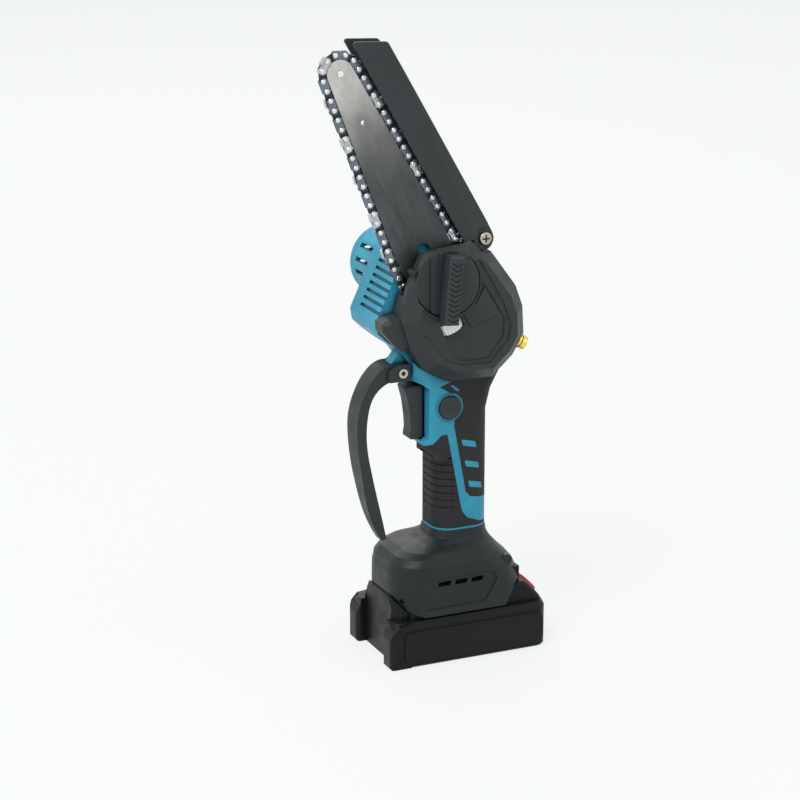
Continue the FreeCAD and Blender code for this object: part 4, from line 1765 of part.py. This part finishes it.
# ------------------------------------------------------------------ everything
SINGLE = (guide_bar, nose_rivet, drive_gear, idler_gear, motor_pinion, idler_pin, output_shaft, sprocket,
          sprocket_clip, shaft_bearings, motor_can, motor_magnets, motor_end_bell, motor_contacts,
          rotor_shaft, rotor_core, rotor_windings, gear_plate, housing_screws, motor_cap,
          hand_guard, hand_guard_screws, trigger, trigger_spring, lock_button, button_springs,
          trigger_switch, wiring, side_cover, brass_plug, cover_knob, knob_nut, lock_stud,
          tension_wheel, tension_screw, tension_block, bar_guard, guard_screw, terminal_block,
          terminal_blades,
          battery_screws, battery_cells, cell_straps, battery_board, battery_terminals, release_button,
          release_spring)
GROUPED = (chain, housing, foot, battery_cases)


def main():
    os.makedirs(PARTS, exist_ok=True)
    for function in SINGLE:
        save(function.__name__, function())
    for function in GROUPED:
        for name, shape in function().items():
            save(name, shape)


if __name__ == "__main__":
    main()
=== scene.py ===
"""Looks of the cordless mini chainsaw: materials with painted shade in their crevices, painted shade in the
recesses of two screws, studio and camera.
"""
import json
import bmesh
import bpy
from math import cos, radians, sin
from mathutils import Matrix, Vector


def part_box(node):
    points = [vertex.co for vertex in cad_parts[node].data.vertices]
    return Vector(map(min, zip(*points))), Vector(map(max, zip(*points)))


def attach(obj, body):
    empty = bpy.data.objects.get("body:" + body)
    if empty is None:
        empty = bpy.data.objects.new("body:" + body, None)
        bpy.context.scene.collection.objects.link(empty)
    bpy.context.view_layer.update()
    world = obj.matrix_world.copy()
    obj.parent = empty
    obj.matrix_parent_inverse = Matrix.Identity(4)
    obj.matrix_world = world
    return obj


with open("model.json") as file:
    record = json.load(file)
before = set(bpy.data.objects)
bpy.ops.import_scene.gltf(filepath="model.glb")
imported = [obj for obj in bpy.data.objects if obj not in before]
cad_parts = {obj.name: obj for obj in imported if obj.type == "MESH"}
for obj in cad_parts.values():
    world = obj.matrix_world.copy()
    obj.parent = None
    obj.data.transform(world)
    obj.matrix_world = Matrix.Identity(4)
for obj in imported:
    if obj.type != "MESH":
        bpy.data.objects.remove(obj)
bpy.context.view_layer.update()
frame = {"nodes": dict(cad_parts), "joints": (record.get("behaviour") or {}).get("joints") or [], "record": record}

MM = 0.001      # Blender works in metres

# ------------------------------------------------------------------ node tree helpers


def feed(tree, socket, value):
    """Sets a socket to a value, or links another node's output to it."""
    if isinstance(value, bpy.types.NodeSocket):
        tree.links.new(value, socket)
    else:
        socket.default_value = value


def add(tree, kind, **inputs):
    """New node. The inputs are named as in Blender, with _ for a space."""
    node = tree.nodes.new("ShaderNode" + kind)
    for key, value in inputs.items():
        feed(tree, node.inputs[key.replace("_", " ")], value)
    return node


def calculate(tree, operation, a, b):
    node = add(tree, "Math")
    node.operation = operation
    feed(tree, node.inputs[0], a)
    feed(tree, node.inputs[1], b)
    return node.outputs[0]


def ramp(tree, value, low, high, out_low=0.0, out_high=1.0):
    """Straight line from out_low at low to out_high at high, and flat beyond them."""
    return add(tree, "MapRange", Value=value, From_Min=low, From_Max=high,
               To_Min=out_low, To_Max=out_high).outputs[0]


def seen_directly(tree):
    """1 for the camera and for reflections and clear materials, 0 for the light that falls on things."""
    path = add(tree, "LightPath")
    seen = path.outputs["Is Camera Ray"]
    for kind in ("Is Glossy Ray", "Is Transmission Ray"):
        seen = calculate(tree, "MAXIMUM", seen, path.outputs[kind])
    return seen


def shade(colour, factor):
    return tuple(min(1.0, part * factor) for part in colour)


class Look:
    """A material's node tree, built by small steps. Lengths are in metres."""

    def __init__(self, name, softness, metallic=0.0, specular=0.5):
        """Softness is the radius by which edges catch the light as if they were rounded."""
        self.material = bpy.data.materials.new(name)
        self.material.use_nodes = True
        self.tree = self.material.node_tree
        self.shader = self.tree.nodes["Principled BSDF"]
        self.shader.inputs["Metallic"].default_value = metallic
        self.shader.inputs["Specular IOR Level"].default_value = specular
        self.place = add(self.tree, "TexCoord").outputs["Object"]
        bevel = add(self.tree, "Bevel", Radius=softness)
        bevel.samples = 4
        self.normal = bevel.outputs[0]

    def turn(self, angle):
        """Patterns added after this lie along a direction that leans by this angle, round Y."""
        mapping = add(self.tree, "Mapping", Vector=self.place, Rotation=(0, angle, 0))
        self.place = mapping.outputs[0]

    def noise(self, size, detail, roughness=0.55, stretch=(1, 1, 1)):
        """Noise whose grains are about this size."""
        mapping = add(self.tree, "Mapping", Vector=self.place, Scale=stretch)
        return add(self.tree, "TexNoise", Vector=mapping.outputs[0], Scale=1 / size, Detail=detail,
                   Roughness=roughness).outputs["Fac"]

    def cells(self, size):
        return add(self.tree, "TexVoronoi", Vector=self.place, Scale=1 / size).outputs["Distance"]

    def height(self):
        return add(self.tree, "SeparateXYZ", Vector=self.place).outputs["Z"]

    def edges(self):
        """1 on outer edges, 0 elsewhere."""
        return self.ramp(add(self.tree, "NewGeometry").outputs["Pointiness"], 0.52, 0.62)

    def painted_crevice_shade(self, reach):
        """Mask for painted shade, from ambient occlusion: 0 in corners and grooves narrower than this, 1 on open
        faces.
        """
        near = add(self.tree, "AmbientOcclusion", Distance=reach)
        near.samples = 8
        return self.ramp(near.outputs["AO"], 0.35, 0.95)

    def facing_up(self):
        """0 on upright faces, 1 on level ones."""
        normal = add(self.tree, "NewGeometry").outputs["Normal"]
        return self.ramp(add(self.tree, "SeparateXYZ", Vector=normal).outputs["Z"], 0.1, 0.9)

    def ramp(self, value, low, high, out_low=0.0, out_high=1.0):
        return ramp(self.tree, value, low, high, out_low, out_high)

    def times(self, a, b):
        return calculate(self.tree, "MULTIPLY", a, b)

    def mix(self, share, a, b):
        """Colour a where the share is 0, and colour b where it is 1."""
        node = add(self.tree, "Mix")
        node.data_type = "RGBA"
        feed(self.tree, node.inputs["Factor"], share)
        for socket, value in zip([s for s in node.inputs if s.type == "RGBA"], (a, b)):
            feed(self.tree, socket, value if isinstance(value, bpy.types.NodeSocket) else (*value, 1.0))
        return [s for s in node.outputs if s.type == "RGBA"][0]

    def finish(self, colour, roughness, relief, depth):
        """Sets the colour and the roughness, and raises the relief by this depth."""
        bump = add(self.tree, "Bump", Height=relief, Distance=depth, Normal=self.normal)
        for name, source in (("Base Color", colour), ("Roughness", roughness), ("Normal", bump.outputs[0])):
            feed(self.tree, self.shader.inputs[name], source)
        return self.material


# ------------------------------------------------------------------ finishes
DUST = (0.098, 0.101, 0.097)
MOULDED_GRAIN = 0.5 * MM
MOULDED_EDGE = 0.6 * MM
MOULDED_SHADE_REACH = 3.5 * MM   # grooves up to this wide get painted shade
STIPPLE = 0.7 * MM
METAL_EDGE = 0.3 * MM
METAL_GRAIN = 0.6 * MM
METAL_RELIEF = 0.02 * MM


def moulded(name, colour, rough=0.48, depth=0.04 * MM, dust=0.0, worn=1.25, specular=0.35, crevice_shade_tone=0.45):
    """Moulded plastic: fine grain, cloudy tone, paler worn edges, painted shade in corners and grooves, and dust
    where it settles.
    """
    look = Look(name, MOULDED_EDGE, specular=specular)
    cloud = look.noise(30 * MM, 4.0)
    fine = look.noise(MOULDED_GRAIN, 2.0)
    tone = look.mix(look.ramp(cloud, 0.35, 0.7), shade(colour, 0.9), shade(colour, 1.12))
    tone = look.mix(look.times(look.ramp(fine, 0.3, 0.75), 0.35), tone, shade(colour, 1.3))
    tone = look.mix(look.times(look.edges(), 0.6), tone, shade(colour, worn + 0.25))
    if dust > 0:
        settled = look.times(look.ramp(look.noise(6 * MM, 5.0, 0.7), 0.42, 0.72), look.facing_up())
        patches = look.times(look.ramp(look.noise(11 * MM, 6.0, 0.7), 0.55, 0.72), 0.5)
        tone = look.mix(look.times(settled, dust), tone, DUST)
        tone = look.mix(look.times(patches, dust * 0.5), tone, DUST)
    # painted shade: corners and grooves darkened towards a darker copy of the colour
    tone = look.mix(look.painted_crevice_shade(MOULDED_SHADE_REACH), shade(colour, crevice_shade_tone), tone)
    roughness = look.ramp(look.noise(12 * MM, 4.0), 0.3, 0.7, rough - 0.08, rough + 0.1)
    return look.finish(tone, roughness, fine, depth)


def rubber(name, colour):
    """Soft overmould: matt, with a fine stipple."""
    look = Look(name, MOULDED_EDGE, specular=0.3)
    stipple = look.cells(STIPPLE)
    cloud = look.noise(20 * MM, 4.0)
    tone = look.mix(look.ramp(cloud, 0.35, 0.7), shade(colour, 0.85), shade(colour, 1.2))
    tone = look.mix(look.times(look.edges(), 0.5), tone, shade(colour, 1.7))
    # painted shade: corners and grooves up to 2 mm wide darkened to half the colour
    tone = look.mix(look.painted_crevice_shade(2 * MM), shade(colour, 0.5), tone)
    return look.finish(tone, look.ramp(cloud, 0.3, 0.7, 0.58, 0.72), stipple, 0.05 * MM)


def metal(name, colour, rough=0.32, smudge=0.35, tint=None):
    """Metal with a fine grain, smudges of a tint and slightly worn edges."""
    look = Look(name, METAL_EDGE, metallic=1.0)
    grain = look.noise(METAL_GRAIN, 4.0, 0.6)
    cloud = look.noise(8 * MM, 5.0, 0.65)
    tone = look.mix(look.ramp(grain, 0.3, 0.7), shade(colour, 0.82), shade(colour, 1.12))
    tone = look.mix(look.times(look.ramp(cloud, 0.45, 0.7), smudge), tone, tint or shade(colour, 0.5))
    tone = look.mix(look.times(look.edges(), 0.5), tone, shade(colour, 1.35))
    # painted shade: corners and grooves up to 1.5 mm wide darkened to a quarter of the colour
    tone = look.mix(look.painted_crevice_shade(1.5 * MM), shade(colour, 0.25), tone)
    roughness = look.ramp(cloud, 0.3, 0.75, rough - 0.08, rough + 0.16)
    return look.finish(tone, roughness, grain, METAL_RELIEF)


BAR_LEAN = radians(25.84)           # the bar leans this far from upright, towards -X
RUBBED = (288 * MM, 366 * MM)       # along that lean: where the coating starts to thin, and where it is gone
COATING, COATING_PALE = (0.058, 0.064, 0.066), (0.095, 0.102, 0.105)
BLOT = (0.15, 0.155, 0.155)
BARE_STEEL = (0.62, 0.61, 0.58)


def bar_finish(name):
    """Guide bar: dark coating, rubbed to bare steel towards the nose, with long smears."""
    look = Look(name, METAL_EDGE, metallic=0.85)
    look.turn(BAR_LEAN)
    smear = look.noise(4 * MM, 6.0, 0.7, (1.0, 1.0, 0.12))
    blot = look.noise(20 * MM, 6.0, 0.65, (1.0, 1.0, 0.5))
    nose = look.ramp(look.height(), *RUBBED)
    nose = look.times(nose, nose)
    tone = look.mix(look.ramp(smear, 0.35, 0.7), COATING, COATING_PALE)
    tone = look.mix(look.times(look.ramp(blot, 0.45, 0.65), 0.35), tone, BLOT)
    tone = look.mix(look.times(nose, look.ramp(blot, 0.2, 0.55, 0.35, 1.0)), tone, BARE_STEEL)
    return look.finish(tone, look.ramp(smear, 0.3, 0.75, 0.34, 0.55), smear, METAL_RELIEF)


LOOKS = {       # by the record's material slots
    "blue_plastic": moulded("blue_plastic", (0.025, 0.255, 0.375), rough=0.42, depth=0.02 * MM, dust=0.12,
                            crevice_shade_tone=0.3),
    "black_plastic": moulded("black_plastic", (0.0215, 0.0275, 0.0290), dust=0.3),
    "pack_plastic": moulded("pack_plastic", (0.0068, 0.0076, 0.0080), rough=0.36, worn=1.6, specular=0.17),
    "grip_rubber": rubber("grip_rubber", (0.0140, 0.0155, 0.0160)),
    "white_plastic": moulded("white_plastic", (0.97, 0.97, 0.96), rough=0.35, worn=1.0, crevice_shade_tone=1.0),
    "red_plastic": moulded("red_plastic", (0.62, 0.05, 0.06), rough=0.35, worn=1.0),
    "bar_steel": bar_finish("bar_steel"),
    "chain_steel": metal("chain_steel", (0.165, 0.195, 0.235), rough=0.3, smudge=0.9,
                         tint=(0.045, 0.05, 0.06)),
    "screw_steel": metal("screw_steel", (0.50, 0.46, 0.39), rough=0.34),
    "gear_steel": metal("gear_steel", (0.42, 0.42, 0.43), rough=0.35),
    "spring_steel": metal("spring_steel", (0.5, 0.5, 0.5), rough=0.3),
    "plate_aluminium": metal("plate_aluminium", (0.74, 0.74, 0.75), rough=0.45),
    "brass": metal("brass", (0.85, 0.60, 0.18), rough=0.24, smudge=0.2),
    "magnet": metal("magnet", (0.12, 0.12, 0.13), rough=0.5),
    "copper": metal("copper", (0.65, 0.30, 0.14), rough=0.3),
    "cell_jacket": moulded("cell_jacket", (0.06, 0.30, 0.22), rough=0.35),
    "board": moulded("board", (0.03, 0.16, 0.06), rough=0.4),
}
CHROME = metal("cutter_chrome", (0.46, 0.48, 0.50), rough=0.22, smudge=0.6, tint=(0.10, 0.10, 0.11))
BRIGHT = metal("rivet_bright", (0.85, 0.85, 0.85), rough=0.22, smudge=0.3, tint=(0.3, 0.3, 0.3))
LINKS = metal("link_dark", (0.055, 0.058, 0.062), rough=0.4, smudge=0.5)
FOOT = moulded("foot_plastic", (0.0112, 0.0142, 0.0148), rough=0.4, dust=0.03, specular=0.3)
BOW = moulded("bow_plastic", (0.0185, 0.0225, 0.0230), dust=0.1)
# painted shade: near-black material for the pieces set into the screw recesses
RECESS_SHADE = moulded("recess_painted_shade", (0.006, 0.006, 0.006), rough=0.6)
OWN_LOOKS = {   # by node, where a piece looks unlike the rest of its slot
    "chain_near_cutters": CHROME, "chain_far_cutters": CHROME, "chain_drive_links": LINKS,
    "chain_rivets": BRIGHT, "nose_rivet": BRIGHT, "left_foot": FOOT, "right_foot": FOOT, "hand_guard": BOW,
}

for entry in frame["record"]["subparts"]:
    materials = frame["nodes"][entry["node"]].data.materials
    materials.clear()
    materials.append(OWN_LOOKS.get(entry["node"], LOOKS[entry["material_slot"]]))

# ------------------------------------------------------------------ painted shade in the recesses of the screws


def painted_shade_prism(name, outline, centre, near, far, body):
    """A dark piece of painted shade: an outline in X and Z round a centre, extruded along Y, that rides on a body.
    """
    mesh = bmesh.new()
    rings = [[mesh.verts.new((centre.x + x, y, centre.z + z)) for x, z in outline] for y in (near, far)]
    mesh.faces.new(rings[0])
    mesh.faces.new(list(reversed(rings[1])))
    for k in range(len(outline)):
        after = (k + 1) % len(outline)
        mesh.faces.new([rings[0][after], rings[0][k], rings[1][k], rings[1][after]])
    bmesh.ops.recalc_face_normals(mesh, faces=mesh.faces)
    data = bpy.data.meshes.new(name)
    mesh.to_mesh(data)
    data.materials.append(RECESS_SHADE)
    piece = bpy.data.objects.new(name, data)
    bpy.context.scene.collection.objects.link(piece)
    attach(piece, body)


CROSS_REACH = 2.35 * MM
CROSS_HALF = 0.47 * MM          # half the width of the cross's arms
SOCKET_RADIUS = 1.45 * MM
CROSS_SUNK = 0.35 * MM          # the painted-shade floor lies this far behind the head's face
SOCKET_SUNK = 0.4 * MM
RECESS_DEPTH = 1.15 * MM


def cross():
    """Twelve corners of a cross, the same three for each arm."""
    arm = ((CROSS_HALF, CROSS_HALF), (CROSS_HALF, CROSS_REACH), (-CROSS_HALF, CROSS_REACH))
    turns = ((1, 0), (0, 1), (-1, 0), (0, -1))
    return [(c * x - s * z, s * x + c * z) for c, s in turns for x, z in arm]


def hexagon(radius):
    return [(radius * cos(radians(60 * k)), radius * sin(radians(60 * k))) for k in range(6)]


# painted shade: dark pieces set into the guard screw's cross recess and the hand guard screws' socket
pivot = next(Vector(joint["pos_m"]) for joint in frame["joints"] if joint["name"] == "guard_swing")
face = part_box("guard_screw")[0].y
painted_shade_prism("guard_screw_cross_shade", cross(), pivot, face + CROSS_SUNK, face + RECESS_DEPTH, "body")
low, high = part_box("hand_guard_screws")
painted_shade_prism("hand_screw_socket_shade", hexagon(SOCKET_RADIUS), (low + high) / 2, low.y + SOCKET_SUNK,
      low.y + RECESS_DEPTH, "body")

# ------------------------------------------------------------------ studio
FLOOR_SIZE = 12.0
FLOOR_DROP = 0.2 * MM               # clears the battery's underside
FLOOR_GLOW = 0.765                  # light added for the eye
FLOOR_SEEN, FLOOR_TONE = 0.17, 0.70     # the floor's tone for the eye, and for the light that it throws back
FLOOR_TINT = (0.97, 1.0, 0.985)
BACKDROP = (0.939, 0.956, 0.947)
SKY_TINT = (0.96, 0.98, 1.0)
SKY_LOW, SKY_HIGH = 0.30, 1.0       # strength of the light at the horizon and at the zenith
LAMPS = [("key", (-1.4, -0.9, 2.2), 1.2, 34), ("fill", (1.7, -1.4, 0.9), 1.6, 4),
         ("back", (0.4, 1.8, 1.6), 1.6, 10)]        # name, place, side, power
CAMERA_AZIMUTH = radians(24.175)    # the camera stands this far round towards -X from -Y
CAMERA_HEIGHT = radians(16.947)
CAMERA_REACH = 1.6042
TARGET = Vector((-0.0351, 0.0, 0.1665))
LENS, SENSOR = 115.5, 36            # millimetres


def floor_white():
    """White that keeps shadows and looks evenly white to the camera."""
    material = bpy.data.materials.new("floor_white")
    material.use_nodes = True
    tree = material.node_tree
    tree.nodes.clear()
    seen = seen_directly(tree)
    body = add(tree, "BsdfDiffuse", Color=ramp(tree, seen, 0, 1, FLOOR_TONE, FLOOR_SEEN))
    strength = calculate(tree, "MULTIPLY", seen, FLOOR_GLOW)
    glow = add(tree, "Emission", Color=(*FLOOR_TINT, 1), Strength=strength)
    both = add(tree, "AddShader")
    tree.links.new(body.outputs[0], both.inputs[0])
    tree.links.new(glow.outputs[0], both.inputs[1])
    add(tree, "OutputMaterial", Surface=both.outputs[0])
    return material


def make_floor():
    bpy.ops.mesh.primitive_plane_add(size=FLOOR_SIZE, location=(0, 0, -FLOOR_DROP))
    floor = bpy.context.object
    floor.name = "floor"
    floor.data.materials.append(floor_white())


def make_world():
    """Soft light that grows towards the zenith; the camera sees an even near-white."""
    world = bpy.data.worlds.new("studio")
    bpy.context.scene.world = world
    world.use_nodes = True
    tree = world.node_tree
    tree.nodes.clear()
    direction = add(tree, "SeparateXYZ", Vector=add(tree, "TexCoord").outputs["Generated"])
    rise = ramp(tree, direction.outputs["Z"], 0, 1, SKY_LOW, SKY_HIGH)
    soft = add(tree, "Background", Color=(*SKY_TINT, 1), Strength=rise)
    white = add(tree, "Background", Color=(*BACKDROP, 1), Strength=1.0)
    choice = add(tree, "MixShader", Fac=seen_directly(tree))
    tree.links.new(soft.outputs[0], choice.inputs[1])
    tree.links.new(white.outputs[0], choice.inputs[2])
    add(tree, "OutputWorld", Surface=choice.outputs[0])


def set_up(data, place, back):
    """Puts a lamp or camera in the scene at a place, facing away from the direction back."""
    thing = bpy.data.objects.new(data.name, data)
    bpy.context.scene.collection.objects.link(thing)
    thing.location = place
    thing.rotation_mode = "QUATERNION"
    thing.rotation_quaternion = back.to_track_quat("Z", "Y")
    return thing


def make_lamps():
    for name, place, side, power in LAMPS:
        data = bpy.data.lights.new(name, "AREA")
        data.size = side
        data.energy = power
        set_up(data, place, Vector(place) - TARGET)


def make_camera():
    data = bpy.data.cameras.new("camera")
    data.lens = LENS
    data.sensor_width = SENSOR
    back = Vector((-sin(CAMERA_AZIMUTH) * cos(CAMERA_HEIGHT), -cos(CAMERA_AZIMUTH) * cos(CAMERA_HEIGHT),
                   sin(CAMERA_HEIGHT)))
    bpy.context.scene.camera = set_up(data, TARGET + back * CAMERA_REACH, back)


make_floor()
make_world()
make_lamps()
make_camera()
bpy.context.scene.view_settings.view_transform = "Standard"
